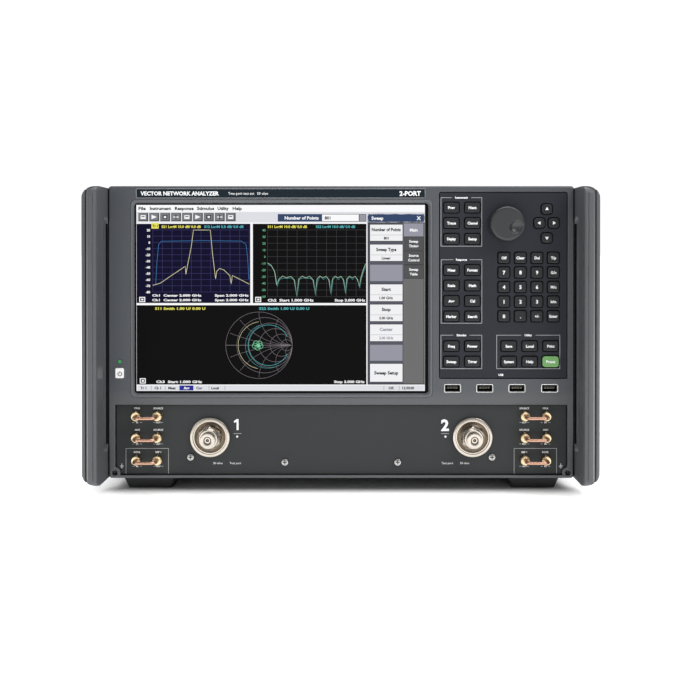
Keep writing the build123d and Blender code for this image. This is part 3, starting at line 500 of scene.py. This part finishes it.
def draw_graph_words(on):
    white, green = on(5, "white"), on(4, "green")
    for i in range(11):
        white.text(str(20 - 10 * i), 12.6, 23.0 + 5.66 * i, 2.2, "right")
        green.text(str(40 - 10 * i), 118.0, 23.0 + 6.07 * i, 2.2, "right", bold=False)
    on(4, "yellow").box(13.8, 20.4, 16.4, 21.6)
    on(5, "ink").text("Tr 1", 17.1, 19.0, 2.2)
    for u, v, colour, words in (
        (23.0, 19.8, "yellow", "S21 LogM 10.0 dB/ 0.0 dB"), (62.0, 19.8, "cyan", "S12 LogM 5.0 dB/ 0.0 dB"),
        (120.0, 19.8, "yellow", "S11 LogM 10.0 dB/ 0.0 dB"),
        (164.0, 19.8, "cyan", "S22 LogM 10.0 dB/ 0.0 dB"),
        (17.0, 94.6, "yellow", "S11 Smith 1.00 U/ 0.00 U"), (112.0, 94.6, "cyan", "S22 Smith 1.00 U/ 0.00 U"),
    ):
        on(5, colour).text(words, u, v, 2.3, "left", length=36.0 if v < 50 else 46.0)
    for v in (82.6, 86.8):
        white.text("Ch1  Center 2.000 GHz", 14.4, v, 2.1, "left", length=45.0)
        white.text("Span 2.000 GHz", 102.6, v, 2.1, "right", length=31.0)
    for u, v, words in ((120.0, 87.0, "Ch2  Start 1.000 GHz"), (18.0, 161.6, "Ch3  Start 1.000 GHz")):
        white.text(words, u, v, 2.3, "left", length=42.0)
    for u, v in ((209.2, 87.0), (208.6, 161.6)):
        white.text("Stop 3.000 GHz", u, v, 2.3, "right", length=28.0)
    for u, v in ((2.6, 84.0), (108.6, 84.0), (3.0, 158.4)):
        white.frame(u, u + 5.4, v, v + 4.8, 0.8)
        white.box(u + 1.8, u + 3.8, v + 1.6, v + 3.2)


def draw_traces(on):
    """Two traces over the navy graph, and reflection lobes between sharp dips on the black one."""
    graph_grid(on(4, "purple"), 15.0, 103.2, 22.8, 79.5)
    graph_grid(on(3, "grid"), 119.8, 209.8, 22.8, 83.8)
    passband = [
        (14.9, 73.4), (22.0, 71.4), (30.8, 65.3), (44.8, 56.0), (45.2, 63.4), (47.4, 52.0), (50.2, 38.0),
        (52.2, 22.9), (67.6, 22.9), (69.6, 45.0), (72.4, 67.5), (73.4, 60.6), (76.0, 58.0), (80.0, 59.4),
        (85.4, 64.6), (86.6, 72.6), (87.6, 64.4), (94.0, 67.6), (103.2, 72.4),
    ]
    on(6, "trace").line(smooth_route(passband), 0.42)
    flat = [(17.6, 73.0), (18.8, 52.0), (20.4, 36.0), (22.8, 33.2), (60.0, 32.6), (96.0, 33.0), (100.2, 36.0),
            (101.6, 48.0), (102.8, 68.0)]
    on(5, "blue").line(smooth_route(flat), 0.42)

    dips = (128.2, 146.4, 163.4, 177.6, 190.8, 203.6)
    depths = (73.0, 83.2, 82.0, 81.0, 80.0, 74.5)
    lobes = [(119.9, 53.0), (123.0, 55.0), (126.2, 60.4), (dips[0], depths[0])]
    for i in range(len(dips) - 1):
        for share, level in ((0.12, 67.6), (0.3, 65.0), (0.5, 66.6), (0.7, 65.2), (0.88, 68.2)):
            lobes.append((dips[i] + (dips[i + 1] - dips[i]) * share, level))
        lobes.append((dips[i + 1], depths[i + 1]))
    lobes += [(205.2, 66.5), (207.4, 59.0), (209.5, 53.6)]
    on(5, "cyan").line([(u + 0.5, v + 1.1 + 0.8 * math.sin(u)) for u, v in lobes], 0.25)
    on(6, "lobe").line(lobes, 0.45)


def draw_chart(on):
    """Circles of resistance and arcs of reactance, with the looping traces."""
    u0, v0, big = 112.0, 128.2, 30.4
    lines = on(4, "chart")
    for resistance in (0.0, 0.2, 0.5, 1.0, 2.0, 5.0):
        r = big / (1 + resistance)
        lines.arc(u0 + big - r, v0, r, 0.28, steps=72)
    for reactance in (0.2, 0.5, 1.0, 2.0, 5.0):
        r = big / reactance
        for side in (-1, 1):
            turns = [math.pi * i / 90 for i in range(91)]
            arc = [(u0 + big - r * math.sin(a), v0 + side * (r - r * math.cos(a))) for a in turns]
            arc = [(u, v) for u, v in arc if math.hypot(u - u0, v - v0) <= big]
            lines.line(arc, 0.24)
    lines.box(u0 - big, u0 + big, v0 - 0.2, v0 + 0.2)
    on(5, "cyan").arc(u0 + 9.0, v0, 18.6, 0.36, 25, 335)
    on(5, "cyan").arc(u0 + 8.0, v0 + 0.6, 20.4, 0.2, 60, 250)
    on(6, "trace").arc(u0 + 2.6, v0, 21.6, 0.28, 100, 262)
    for i in range(5):
        turn = math.radians(72 * i + 20)
        on(5, "green").arc(u0 - 1.2 + 2.6 * math.cos(turn), v0 + 2.0 * math.sin(turn), 2.4, 0.4, steps=20)
    on(6, "green").disc(u0 - 0.6, v0 + 0.3, 1.7)


draw_screen()


# ---------------- printed labels
KEY_LABELS = {
    "instrument_keys": "Prev Next Trace Channel Display Setup",
    "response_keys": "Meas Format Scale Math Avg Cal Marker Search",
    "stimulus_keys": "Freq Power Sweep Trigger",
    "utility_keys": "Save Local Print System Help",
    "preset_key": "Preset",
    "edit_keys": "Off Clear Del T/p",
    "unit_keys": "G/n M/u k/m Enter",
    "point_key": ".",
    "sign_key": "+/-",
}
ARROW_TURNS = {"up": 90, "down": 270, "left": 180, "right": 0}
GROUP_FRAMES = {
    "Instrument": (90.8, 128.4, 224.8, 269.5),
    "Response": (91.0, 128.5, 154.5, 212.9),
    "Stimulus": (90.8, 128.5, 113.0, 144.0),
    "Utility": (141.7, 199.7, 113.0, 144.0),
}
TITLE = (-187.0, 76.6, 268.9, 277.5)


def solids(name):
    """The boxes of a node's separate solids, row by row from the top, left to right."""
    work = bmesh.new()
    work.from_mesh(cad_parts[name].data)
    bmesh.ops.remove_doubles(work, verts=work.verts, dist=1e-6)
    unseen = set(work.verts)
    boxes = []
    while unseen:
        island = [unseen.pop()]
        for vert in island:
            near = {edge.other_vert(vert) for edge in vert.link_edges} & unseen
            unseen -= near
            island += near
        corners = [[pick(v.co[i] for v in island) for i in range(3)] for pick in (min, max)]
        boxes.append([Vector(corner) for corner in corners])
    work.free()
    return sorted(boxes, key=lambda b: (-round(b[0].z + b[1].z, 3), b[0].x))


def centre(low, high):
    """The middle of a box as seen from the front, in millimetres."""
    return (low.x + high.x) / 2 / MM, (low.z + high.z) / 2 / MM


def key_centres(name):
    """Front plane of a key node, and the centre of each of its caps."""
    boxes = solids(name)
    return boxes[0][0].y, [centre(*box) for box in boxes]


def print_keys():
    digits = {f"digit_key_{digit}": str(digit) for digit in range(10)}
    for name, labels in {**KEY_LABELS, **digits}.items():
        y, centres = key_centres(name)
        ink = Ink(f"label_{name}", label_ink, y, name)
        for (x, z), word in zip(centres, labels.split()):
            height = 3.3 if len(word) == 1 else 2.5
            ink.text(word, x, z, height, wide=min(1.0, 5.6 / len(word)))
        ink.make()
    for way, turn in ARROW_TURNS.items():
        name = f"arrow_key_{way}"
        y, [(x, z)] = key_centres(name)
        ink = Ink(f"label_{name}", label_ink, y, name)
        corners = [math.radians(turn + 120 * i) for i in range(3)]
        ink.shape([(x + 1.9 * math.cos(a), z + 1.9 * math.sin(a)) for a in corners])
        ink.make()

    y, [(x, z)] = key_centres("power_button")
    grey = printed("power_mark", (40, 42, 46), 0.5)
    mark = Ink("label_power_button", grey, y, "power_button")
    mark.arc(x, z - 0.6, 1.8, 0.7, 125, 415)
    mark.box(x - 0.35, x + 0.35, z - 0.5, z + 1.9)
    mark.make()


def print_panels():
    words = Ink("label_words_keypad", label_ink, KEYPAD)
    lines = Ink("label_lines_keypad", outline_ink, KEYPAD)
    for title, (x0, x1, z0, z1) in GROUP_FRAMES.items():
        middle, half = (x0 + x1) / 2, 0.78 * len(title) + 1.2
        lines.frame(x0, x1, z0, z1, 0.4, (middle - half, middle + half))
        words.text(title, middle, z1 - 0.1, 1.9)
    words.text("USB", 145.8, 107.6, 1.9)
    words.make()
    lines.make()

    words = Ink("label_words_ports", label_ink, PORTS)
    lines = Ink("label_lines_ports", outline_ink, PORTS)
    jacks = [centre(*box) for box in solids("jumper_jacks")]
    names = ("SOURCE", "CPLR", "SOURCE", "ARM", "REF 1", "RCVR")
    for side in (-1, 1):
        x = side * 95.0
        if side < 0:
            words.box(x - 0.9, x + 0.9, 56.6, 66.7)
            words.shape([(x - 3.2, 63.2), (x - 0.9, 64.3), (x - 0.9, 66.7), (x - 3.2, 65.0)])
        else:
            words.text("2", x, 61.4, 10.4)
        lines.box(x - 3.6, x + 3.6, 53.2, 53.6)
        earth = side * 201.0
        for step in range(3):
            half = 1.7 - 0.5 * step
            words.box(earth - half, earth + half, 23.6 - 0.9 * step, 24.0 - 0.9 * step)
        words.box(earth - 0.2, earth + 0.2, 24.0, 26.0)
        words.text("50 ohm", side * 113.0, 26.4, 2.0, bold=False)
        words.text("Test port", side * 97.0, 26.4, 2.0, bold=False)
        outward = sorted((jack for jack in jacks if jack[0] * side > 0), key=lambda j: (-j[1], abs(j[0])))
        for (x, z), name in zip(outward, names):
            words.text(name, x, z + 6.6, 1.7)
            words.text("OUT" if x == outward[0][0] else "IN", x, z - 6.4, 1.4)
            for mark in (x - 4.4, x + 2.6):
                lines.box(mark, mark + 1.8, z - 6.6, z - 6.2)
        x0, x1 = sorted((side * 158.1, side * 197.4))
        lines.box(x0, x1, 39.6, 40.0)
        lines.box(x0, x0 + 0.4, 16.0, 39.6)
        lines.box(x1 - 0.4, x1, 16.0, 39.6)
    words.make()
    lines.make()


def print_title():
    x0, x1, z0, z1 = TITLE
    floor = FACE + 0.4 * MM
    strip = Ink("title_strip", printed("title_film", (21, 31, 39), 0.3, 0.15), floor)
    strip.box(x0, x1, z0, z1)
    strip.make()
    front = floor - INK - 0.01 * MM
    rim = Ink("title_rim", outline_ink, front)
    rim.frame(x0, x1, z0, z1, 0.35)
    rim.make()
    words = Ink("title_words", label_ink, front)
    middle = (z0 + z1) / 2
    words.text("VECTOR NETWORK ANALYZER", x0 + 4.0, middle, 3.6, "left")
    words.text("Two-port test set   50 ohm", x0 + 84.0, middle, 2.5, "left", wide=0.95, bold=False)
    words.text("2-PORT", x1 - 4.0, middle, 4.2, "right")
    words.make()


def draw_seams():
    """Painted shadow in the gaps around the keys and the inset panels, and between the handles and the front
    frame.
    """
    # a painted shadow ring around every key, then around each inset panel
    keys = Ink("gap_shadow_keys", gap_shadow_black, KEYPAD)
    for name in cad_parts:
        if name.endswith(("_key", "_keys")) or name.startswith(("digit_key", "arrow_key")):
            for low, high in solids(name):
                w, h = (high.x - low.x) / MM + 0.1, (high.z - low.z) / MM + 0.1
                x, z = centre(low, high)
                r = 2.8 if name.startswith(("arrow", "preset")) else 1.6
                keys.line([(x + dx, z + dz) for dx, dz in rounded(w, h, r, 3)], 0.8, closed=True)
    keys.make()
    for name, y in (("keypad_panel", KEYPAD), ("port_panel", PORTS)):
        low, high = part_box(name)
        seam = Ink(f"seam_{name}", gap_shadow_black, y)
        seam.frame(low.x / MM, high.x / MM, low.z / MM, high.z / MM, 0.7)
        seam.make()
    edge, bottom, top = front_high.x / MM, front_low.z / MM + 3.0, front_high.z / MM - 3.0
    for side, way in (("left", -1), ("right", 1)):
        # the first strips are painted shadow in the gap beside the frame, the second painted shadow on the
        # front of the handle's flange
        for kind, width, y, z0, z1 in (("seam", -1.3, FACE + 0.3 * MM, bottom, top),
                                       ("shade", 1.9, FACE, 38.5, 251.5)):
            strip = Ink(f"{kind}_handle_{side}", gap_shadow_black, y)
            strip.box(*sorted((way * edge, way * (edge + width))), z0, z1)
            strip.make()


# ---------------- smooth pieces
SHARP_ANGLE = math.radians(32.0)  # two faces that meet at more than this keep a sharp edge


def rounded(w, h, r, steps=6):
    """Anticlockwise outline of a rounded rectangle about the origin."""
    points = []
    for i, (sx, sz) in enumerate(((1, 1), (-1, 1), (-1, -1), (1, -1))):
        for k in range(steps + 1):
            a = math.pi / 2 * (i + k / steps)
            points.append((sx * (w / 2 - r) + r * math.cos(a), sz * (h / 2 - r) + r * math.sin(a)))
    return points


def circle(r, steps=72):
    turns = [2 * math.pi * i / steps for i in range(steps)]
    return [(r * math.cos(a), r * math.sin(a)) for a in turns]


def hexagonal(flat, limit, steps=72):
    """A hexagon that is flat millimetres from its centre to each side, cut back to a circle."""
    points = []
    for i in range(steps):
        a = 2 * math.pi * i / steps
        r = min(limit, flat / math.cos((a + math.pi / 6) % (math.pi / 3) - math.pi / 6))
        points.append((r * math.cos(a), r * math.sin(a)))
    return points


class Solid:
    """Skinned shapes of one material, in millimetres, gathered into one piece."""

    def __init__(self, name, material, body="chassis"):
        self.name, self.material, self.body = name, material, body
        self.points, self.faces = [], []

    def skin(self, loops, closed=False):
        """Join loops of equally many points; the ends are capped, or the last joins the first."""
        n, first = len(loops[0]), len(self.points)
        for loop in loops:
            self.points += [(x * MM, y * MM, z * MM) for x, y, z in loop]
        spans = len(loops) if closed else len(loops) - 1
        for k in range(spans):
            a, b = first + k * n, first + (k + 1) % len(loops) * n
            for i in range(n):
                j = (i + 1) % n
                self.faces.append((a + i, b + i, b + j, a + j))
        if not closed:
            self.faces.append(tuple(range(first, first + n)))
            self.faces.append(tuple(range(first + spans * n + n - 1, first + spans * n - 1, -1)))

    def along_y(self, x, z, sections, closed=False):
        """Sections of (outline, y), each outline about the axis through (x, z)."""
        self.skin([[(x + dx, y, z + dz) for dx, dz in outline] for outline, y in sections], closed)

    def lathe(self, x, z, profile, closed=False, steps=72):
        """A profile of (radius, y) turned about the axis through (x, z)."""
        self.along_y(x, z, [(circle(max(r, 0.01), steps), y) for r, y in profile], closed)

    def tube(self, route, r, steps=24):
        """A round bar along a route of (x, y, z) points."""
        route = [Vector(p) for p in route]
        side = None
        loops = []
        for i, here in enumerate(route):
            along = (route[min(i + 1, len(route) - 1)] - route[max(i - 1, 0)]).normalized()
            side = side - along * side.dot(along) if side else along.orthogonal()
            side.normalize()
            up = along.cross(side)
            loops.append([tuple(here + side * dx + up * dz) for dx, dz in circle(r, steps)])
        self.skin(loops)

    def screw(self, centre, axis, r, rise=1.6):
        """A domed screw head with a round driver recess, facing along an axis."""
        axis = Vector(axis)
        side = axis.orthogonal().normalized()
        up = axis.cross(side)
        loops = []
        for share, out in ((1.0, 0), (1.0, 0.45), (0.93, 0.75), (0.7, 0.97), (0.46, 1.0), (0.42, 0.9),
                           (0.3, 0.25)):
            middle = Vector(centre) + axis * rise * out
            loops.append([tuple(middle + side * dx + up * dz) for dx, dz in circle(r * share, 30)])
        self.skin(loops)

    def make(self, *replaced):
        mesh = bpy.data.meshes.new(self.name)
        mesh.from_pydata(self.points, [], self.faces)
        work = bmesh.new()
        work.from_mesh(mesh)
        bmesh.ops.recalc_face_normals(work, faces=work.faces)
        work.to_mesh(mesh)
        work.free()
        mesh.shade_smooth()
        mesh.set_sharp_from_angle(angle=SHARP_ANGLE)
        mesh.materials.append(self.material)
        piece = placed(self.name, mesh)
        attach(piece, self.body)
        if replaced:
            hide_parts(*replaced)


def make_ports():
    """Collars, connector bodies with their threads and wrench flats, and the open mouths, lined in black as
    painted shade inside the bore.
    """
    face = PORTS / MM
    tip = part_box("port_connectors")[0].y / MM
    shoulder = tip + 5.2
    collar = Solid("port_collars", nickel)
    body = Solid("port_bodies", nickel)
    # the black lining and core of the mouths are painted shade inside the bore
    inside = Solid("port_mouths", black_plastic_and_shade)
    inserts = Solid("port_inserts", nickel)
    pins = Solid("port_pins", gold)
    for low, high in solids("port_flanges"):
        x, z = centre(low, high)
        r = (high.x - low.x) / 2 / MM
        lip = face - 3.8
        collar.lathe(x, z, [
            (14.0, face + 4.4), (14.0, face), (r, face), (r, lip + 0.9), (r - 0.25, lip + 0.35),
            (r - 0.9, lip), (r - 2.4, lip), (r - 2.7, lip + 0.25), (r - 2.9, lip + 1.2), (r - 3.8, lip + 1.2),
            (11.8, face + 0.4), (10.6, face + 1.0), (10.6, face + 4.4)], closed=True)
        thread = []
        for i in range(6):
            y = shoulder + 6.4 - i
            thread += [(8.75, y), (9.0, y - 0.3), (9.0, y - 0.5), (8.75, y - 0.8)]
        body.lathe(x, z, [
            (9.9, face + 12), (9.9, face + 4), (8.2, face + 4), (8.2, shoulder + 7.0), *thread,
            (8.6, shoulder + 0.3), (8.3, shoulder), (6.9, shoulder), (6.9, tip + 0.5), (6.75, tip + 0.15),
            (6.3, tip), (3.6, tip), (3.25, tip + 0.2), (3.1, tip + 0.6), (3.1, tip + 5.0), (3.0, tip + 5.4)])
        body.along_y(x, z, [
            (hexagonal(9.3, 9.7), shoulder + 12.2), (hexagonal(9.3, 10.5), shoulder + 11.6),
            (hexagonal(9.3, 10.5), shoulder + 7.9), (hexagonal(9.3, 9.7), shoulder + 7.3)])
        inside.lathe(x, z, [(3.5, tip + 0.12), (3.45, tip + 0.02), (3.0, tip + 0.1), (2.9, tip + 0.7),
                            (2.9, shoulder), (3.2, shoulder)], closed=True)
        inserts.lathe(x, z, [(2.85, shoulder), (2.85, tip + 1.0), (2.6, tip + 0.8), (1.5, tip + 0.8),
                             (1.3, tip + 1.0), (1.3, shoulder)], closed=True)
        inside.lathe(x, z, [(1.35, shoulder), (1.35, tip + 2.2)])
        pins.lathe(x, z, [(0.6, tip + 2.3), (0.6, tip + 1.6), (0.45, tip + 1.2), (0.2, tip + 1.0)], steps=24)
    collar.make("port_flanges")
    body.make("port_connectors")
    inside.make()
    inserts.make()
    pins.make()


def make_knob():
    """The knob with ribs on its side and a finger dimple in its front."""
    low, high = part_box("knob")
    y = low.y / MM
    pivot = Vector(centre(low, high))
    r = (high.x - low.x) / 2 / MM
    back = KEYPAD / MM - 0.5
    steps = 144
    dimple = Vector((7.4, -3.1))
    dimple_r, deep = 6.0, 2.8
    ball = (dimple_r ** 2 + deep ** 2) / (2 * deep)  # radius of the ball that presses the dimple
    rib_depth = 0.22
    profile = [(0.06 + 0.4 * i, y) for i in range(33)]
    profile += [(r - 2.3, y), (r - 1.7, y + 0.12), (r - 1.25, y + 0.5), (r - 0.95, y + 1.1),
                (r - 0.8, y + 2.0), (r - 0.75, back - 4.0), (r - 0.3, back - 2.4), (r, back - 0.5),
                (r, back), (0.1, back)]
    loops = []
    for i, (ring, depth) in enumerate(profile):
        loop = []
        for k in range(steps):
            a = 2 * math.pi * k / steps
            on_side = y + 1.5 < depth < back - 2.0
            ribbed = ring - rib_depth if on_side and k % 3 == 0 else ring
            dx, dz = ribbed * math.cos(a), ribbed * math.sin(a)
            gap = (Vector((dx, dz)) - dimple).length
            dimpled = gap < dimple_r and depth == y
            sink = math.sqrt(ball ** 2 - gap ** 2) - (ball - deep) if dimpled else 0
            loop.append((pivot.x + dx, depth + max(sink, 0), pivot.y + dz))
        loops.append(loop)
    cap = Solid("knob_cap", knob_rubber, "knob")
    cap.skin(loops)
    cap.lathe(pivot.x, pivot.y, [(3.0, back), (3.0, back + 11.0)], steps=36)
    cap.make("knob")


def make_jumpers():
    """Coaxial loops: hexagonal nuts and jacks in pale gold, joined by a bent copper tube."""
    face = PORTS / MM
    nuts = Solid("jumper_nuts", gold)
    loops = Solid("jumper_tubes", copper)
    for low, high in solids("jumper_links"):
        z = centre(low, high)[1]
        reach = low.y / MM + 1.5
        x0, x1 = low.x / MM + 4.7, high.x / MM - 4.7
        front = face - 8.7
        bend = 4.0
        turn = [(bend * (1 - math.cos(a)), bend * (1 - math.sin(a))) for a in
                (math.pi / 2 * k / 10 for k in range(11))]
        route = [(x0, front + 1, z)] + [(x0 + dx, reach + dy, z) for dx, dy in turn]
        route += [(x1 - dx, reach + dy, z) for dx, dy in reversed(turn)] + [(x1, front + 1, z)]
        loops.tube(route, 1.5)
        for x in (x0, x1):
            nuts.along_y(x, z, [
                (hexagonal(4.07, 4.2), face - 1.3), (hexagonal(4.07, 4.7), face - 1.6),
                (hexagonal(4.07, 4.7), front + 1.4), (hexagonal(4.07, 4.15), front + 0.9),
                (circle(3.8), front + 0.8), (circle(3.8), front - 0.3), (circle(3.5), front - 0.6),
                (circle(2.0), front - 0.6), (circle(1.8), front - 0.2)])
            nuts.along_y(x, z, [
                (hexagonal(3.98, 4.2), face), (hexagonal(3.98, 4.6), face - 0.2),
                (hexagonal(3.98, 4.6), face - 0.9), (hexagonal(3.98, 4.1), face - 1.2)])
            nuts.lathe(x, z, [(3.17, face - 1.1), (3.17, face + 11.5)], steps=36)
    nuts.make("jumper_jacks")
    loops.make("jumper_links")


def make_usb():
    """Sockets: a thin bright rim, a dark mouth lined with painted shade inside the shell, and the tongue with
    its contacts.
    """
    front = FACE / MM
    rims = Solid("usb_rims", steel)
    # the mouth's black lining and back wall are painted shade inside the steel shell; the tongue is black
    # plastic
    mouths = Solid("usb_mouths", black_plastic_and_shade)
    contacts = Solid("usb_contacts", gold)
    for low, high in solids("usb_sockets"):
        x, z = centre(low, high)
        rims.along_y(x, z, [
            (rounded(15.6, 7.8, 1.4), front), (rounded(15.6, 7.8, 1.4), front - 0.3),
            (rounded(15.2, 7.4, 1.25), front - 0.5), (rounded(14.2, 6.4, 0.9), front - 0.5),
            (rounded(14.0, 6.2, 0.8), front)], closed=True)
        mouths.along_y(x, z, [
            (rounded(14.1, 6.3, 0.8), front + 0.05), (rounded(14.1, 6.3, 0.8), front - 0.25),
            (rounded(12.6, 5.2, 0.4), front - 0.25), (rounded(12.5, 5.1, 0.3), front + 14.0),
            (rounded(13.1, 5.7, 0.4), front + 15.0), (rounded(13.1, 5.7, 0.4), front + 0.05)], closed=True)
        well = rounded(12.5, 5.1, 0.3)
        mouths.along_y(x, z, [(well, front + 14.4), (well, front + 13.6)])
        mouths.along_y(x, z + 0.9, [
            (rounded(10.4, 1.9, 0.2), front + 13.8), (rounded(10.4, 1.9, 0.2), front + 1.3),
            (rounded(10.0, 1.5, 0.2), front + 1.1)])
        for i in range(4):
            contacts.along_y(x - 3.75 + 2.5 * i, z - 0.15, [
                (rounded(1.0, 0.3, 0.1, 2), front + 11.0), (rounded(1.0, 0.3, 0.1, 2), front + 1.6)])
    rims.make("usb_sockets")
    mouths.make()
    contacts.make()


def make_panel_screws():
    """Domed screws with a dark cross painted as shade in the driver recess, and a painted shadow line around
    each head.
    """
    heads = Solid("panel_screw_heads", screw_steel)
    # the crosses are painted shade in the recesses, the rings painted shadow around the heads
    crosses = Ink("panel_screw_crosses", black_plastic_and_shade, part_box("panel_screws")[0].y)
    shadows = Ink("panel_screw_shadows", black_plastic_and_shade, PORTS)
    for low, high in solids("panel_screws"):
        x, z = centre(low, high)
        y, face = low.y / MM, PORTS / MM
        heads.lathe(x, z, [(1.6, high.y / MM), (1.6, face), (3.2, face), (3.2, y + 0.7), (3.0, y + 0.3),
                           (2.4, y), (0.1, y)])
        crosses.box(x - 1.8, x + 1.8, z - 0.45, z + 0.45)
        crosses.box(x - 0.45, x + 0.45, z - 1.8, z - 0.45)
        crosses.box(x - 0.45, x + 0.45, z + 0.45, z + 1.8)
        shadows.arc(x, z, 3.5, 0.5)
    heads.make("panel_screws")
    crosses.make()
    shadows.make()


def make_rear():
    """Screws, bayonet studs, contacts, printed words and a blank plate on the rear panel."""
    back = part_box("rear_panel")[1].y / MM - 5.5
    fan_screw = 41.25  # from a fan's axis, across and up
    contact_step = 2.8
    screws = Solid("rear_screws", screw_steel)
    for low, high in solids("fan_housings"):
        x, z = centre(low, high)
        for dx in (-fan_screw, fan_screw):
            for dz in (-fan_screw, fan_screw):
                screws.screw((x + dx, back, z + dz), (0, 1, 0), 3.6)
    for x in (-100.0, 0.0, 100.0):
        for z in (22.0, 270.0):
            screws.screw((x, back, z), (0, 1, 0), 3.2)
    screws.make()

    studs = Solid("bnc_studs", steel)
    pins = Ink("rear_contacts", gold, (back + 5.0) * MM, behind=True)
    words = Ink("rear_words", black_plastic_and_shade, back * MM, behind=True)
    names = iter(("REF IN", "REF OUT", "TRIG 1", "TRIG 2", "AUX 1", "AUX 2", "BIAS 1", "BIAS 2"))
    for low, high in solids("rear_connectors"):
        x, z = centre(low, high)
        w = (high.x - low.x) / MM
        if z < 60:
            for side in (-1, 1):
                studs.tube([(x, back + 8.5, z + side * 4.4), (x, back + 8.5, z + side * 5.9)], 0.9, 16)
            words.text(next(names), -x, z + 10.5, 2.2, bold=False)
        elif w > 25:
            count = int((w - 12) / contact_step)
            for i in range(count):
                pins.disc(-x + (i - (count - 1) / 2) * contact_step, z + 1.2, 0.55, 10)
                if i:
                    pins.disc(-x + (i - count / 2) * contact_step, z - 1.2, 0.55, 10)
            words.text({60: "PARALLEL", 46: "SERIAL"}.get(round(w), "I/O"), -x, z + 11.0, 2.4, bold=False)
        else:
            words.text("LAN" if w > 14 else "USB", -x, z + 11.5, 2.4, bold=False)
    words.text("AC IN", 150.0, 79.0, 2.8, bold=False)
    words.text("DRIVE", 62.0, 57.5, 2.4, bold=False)
    words.make()
    pins.make()
    studs.make()
    plate = Ink("rear_plate", outline_ink, back * MM, behind=True)
    plate.shape([(130.0 + dx, 122.0 + dz) for dx, dz in rounded(64.0, 34.0, 2.0)])
    plate.make()


def make_lights():
    """The green lens over the power button, and the pale lenses beside the ports."""
    green = Solid("power_light", lens)
    pale = Solid("port_lights", white_plastic)
    for low, high in solids("status_lights"):
        x, z = centre(low, high)
        y, r = low.y / MM, (high.x - low.x) / 2 / MM
        made = green if r > 1.2 else pale
        profile = [(r, high.y / MM), (r, y + 0.35), (r * 0.9, y + 0.15), (r * 0.6, y + 0.02), (0.05, y)]
        made.lathe(x, z, profile, steps=36)
    green.make("status_lights")
    pale.make()
    ring = Ink("power_light_ring", black_plastic_and_shade, FACE)
    ring.arc(*centre(*solids("status_lights")[0]), 2.2, 0.4)
    ring.make()


for make in (print_keys, print_panels, print_title, draw_seams, make_ports, make_knob, make_jumpers,
             make_usb, make_panel_screws, make_lights, make_rear):
    make()


# ---------------- floor, light and camera
ROOM_LIGHT, ROOM_SEEN = 0.45, 1.05  # strength of the white room on the object, and as it is seen
LIGHTS = {  # place, target, size in metres, and power in watts
    "key": ((1.1, -1.3, 1.5), (0, -0.1, 0.15), (1.0, 1.0), 17),
    "fill": ((-1.4, -1.6, 0.9), (0, -0.2, 0.15), (0.8, 1.4), 3),
    "top": ((0.1, 0.1, 1.9), (0, 0, 0), (1.6, 1.6), 30),
}
CAMERA_PLACE = (0.0137, FACE - 1.0, 0.2238)
CAMERA_TILT = math.radians(90 - 0.39)
CAMERA_LENS = 58.07
CAMERA_SHIFT = (-0.0239, -0.125)


def make_floor():
    mesh = bpy.data.meshes.new("floor")
    size = 30.0
    corners = [(-size, -size, 0), (size, -size, 0), (size, size, 0), (-size, size, 0)]
    mesh.from_pydata(corners, [], [(0, 1, 2, 3)])
    floor = placed("floor", mesh)
    paper = Nodes("floor_paper")

    # the paper glows away from the cabinet, and keeps its shadow close to it
    dark_half = (front_high.x - 0.01, -front_low.y - 0.02, 0)
    place = paper.add("VectorMath", {0: paper.coords}, operation="ABSOLUTE").outputs["Vector"]
    place = paper.add("VectorMath", {0: place, 1: dark_half}, operation="SUBTRACT").outputs["Vector"]
    place = paper.add("VectorMath", {0: place, 1: (0, 0, 0)}, operation="MAXIMUM").outputs["Vector"]
    away = paper.add("VectorMath", {0: place}, operation="LENGTH").outputs["Value"]
    mesh.materials.append(paper.finish(
        Base_Color=paper.toned((0.86, 0.86, 0.855), paper.noise(40.0), 0.004), Roughness=0.9,
        Specular_IOR_Level=0.1, Emission_Color=(1, 1, 1),
        Emission_Strength=paper.spread(away, 0.0, 0.9, 0.0, 0.05)))
    floor.location.z = -0.0002


def area_light(name, place, target, size, power):
    light = bpy.data.lights.new(name, "AREA")
    light.shape = "RECTANGLE"
    light.size, light.size_y = size
    light.energy = power
    holder = placed(name, light)
    holder.location = place
    holder.rotation_euler = (Vector(target) - Vector(place)).to_track_quat("-Z", "Y").to_euler()


def make_world():
    """A white studio, seen as pure white and lighting the object at part of that strength."""
    world = bpy.data.worlds.new("studio")
    world.use_nodes = True
    nodes, links = world.node_tree.nodes, world.node_tree.links
    background = nodes["Background"]
    background.inputs["Color"].default_value = (1.0, 1.0, 1.0, 1)
    seen = nodes.new("ShaderNodeLightPath").outputs["Is Camera Ray"]
    strength = nodes.new("ShaderNodeMapRange")
    strength.inputs["To Min"].default_value = ROOM_LIGHT
    strength.inputs["To Max"].default_value = ROOM_SEEN
    links.new(seen, strength.inputs["Value"])
    links.new(strength.outputs["Result"], background.inputs["Strength"])
    bpy.context.scene.world = world
    bpy.context.scene.view_settings.view_transform = "Standard"


def make_camera():
    data = bpy.data.cameras.new("camera")
    camera = placed("camera", data)
    data.lens = CAMERA_LENS
    data.shift_x, data.shift_y = CAMERA_SHIFT
    camera.location = CAMERA_PLACE
    camera.rotation_euler = (CAMERA_TILT, 0, 0)
    data.clip_start = 0.01
    bpy.context.scene.camera = camera


make_floor()
make_world()
for name, settings in LIGHTS.items():
    area_light(name, *settings)
make_camera()
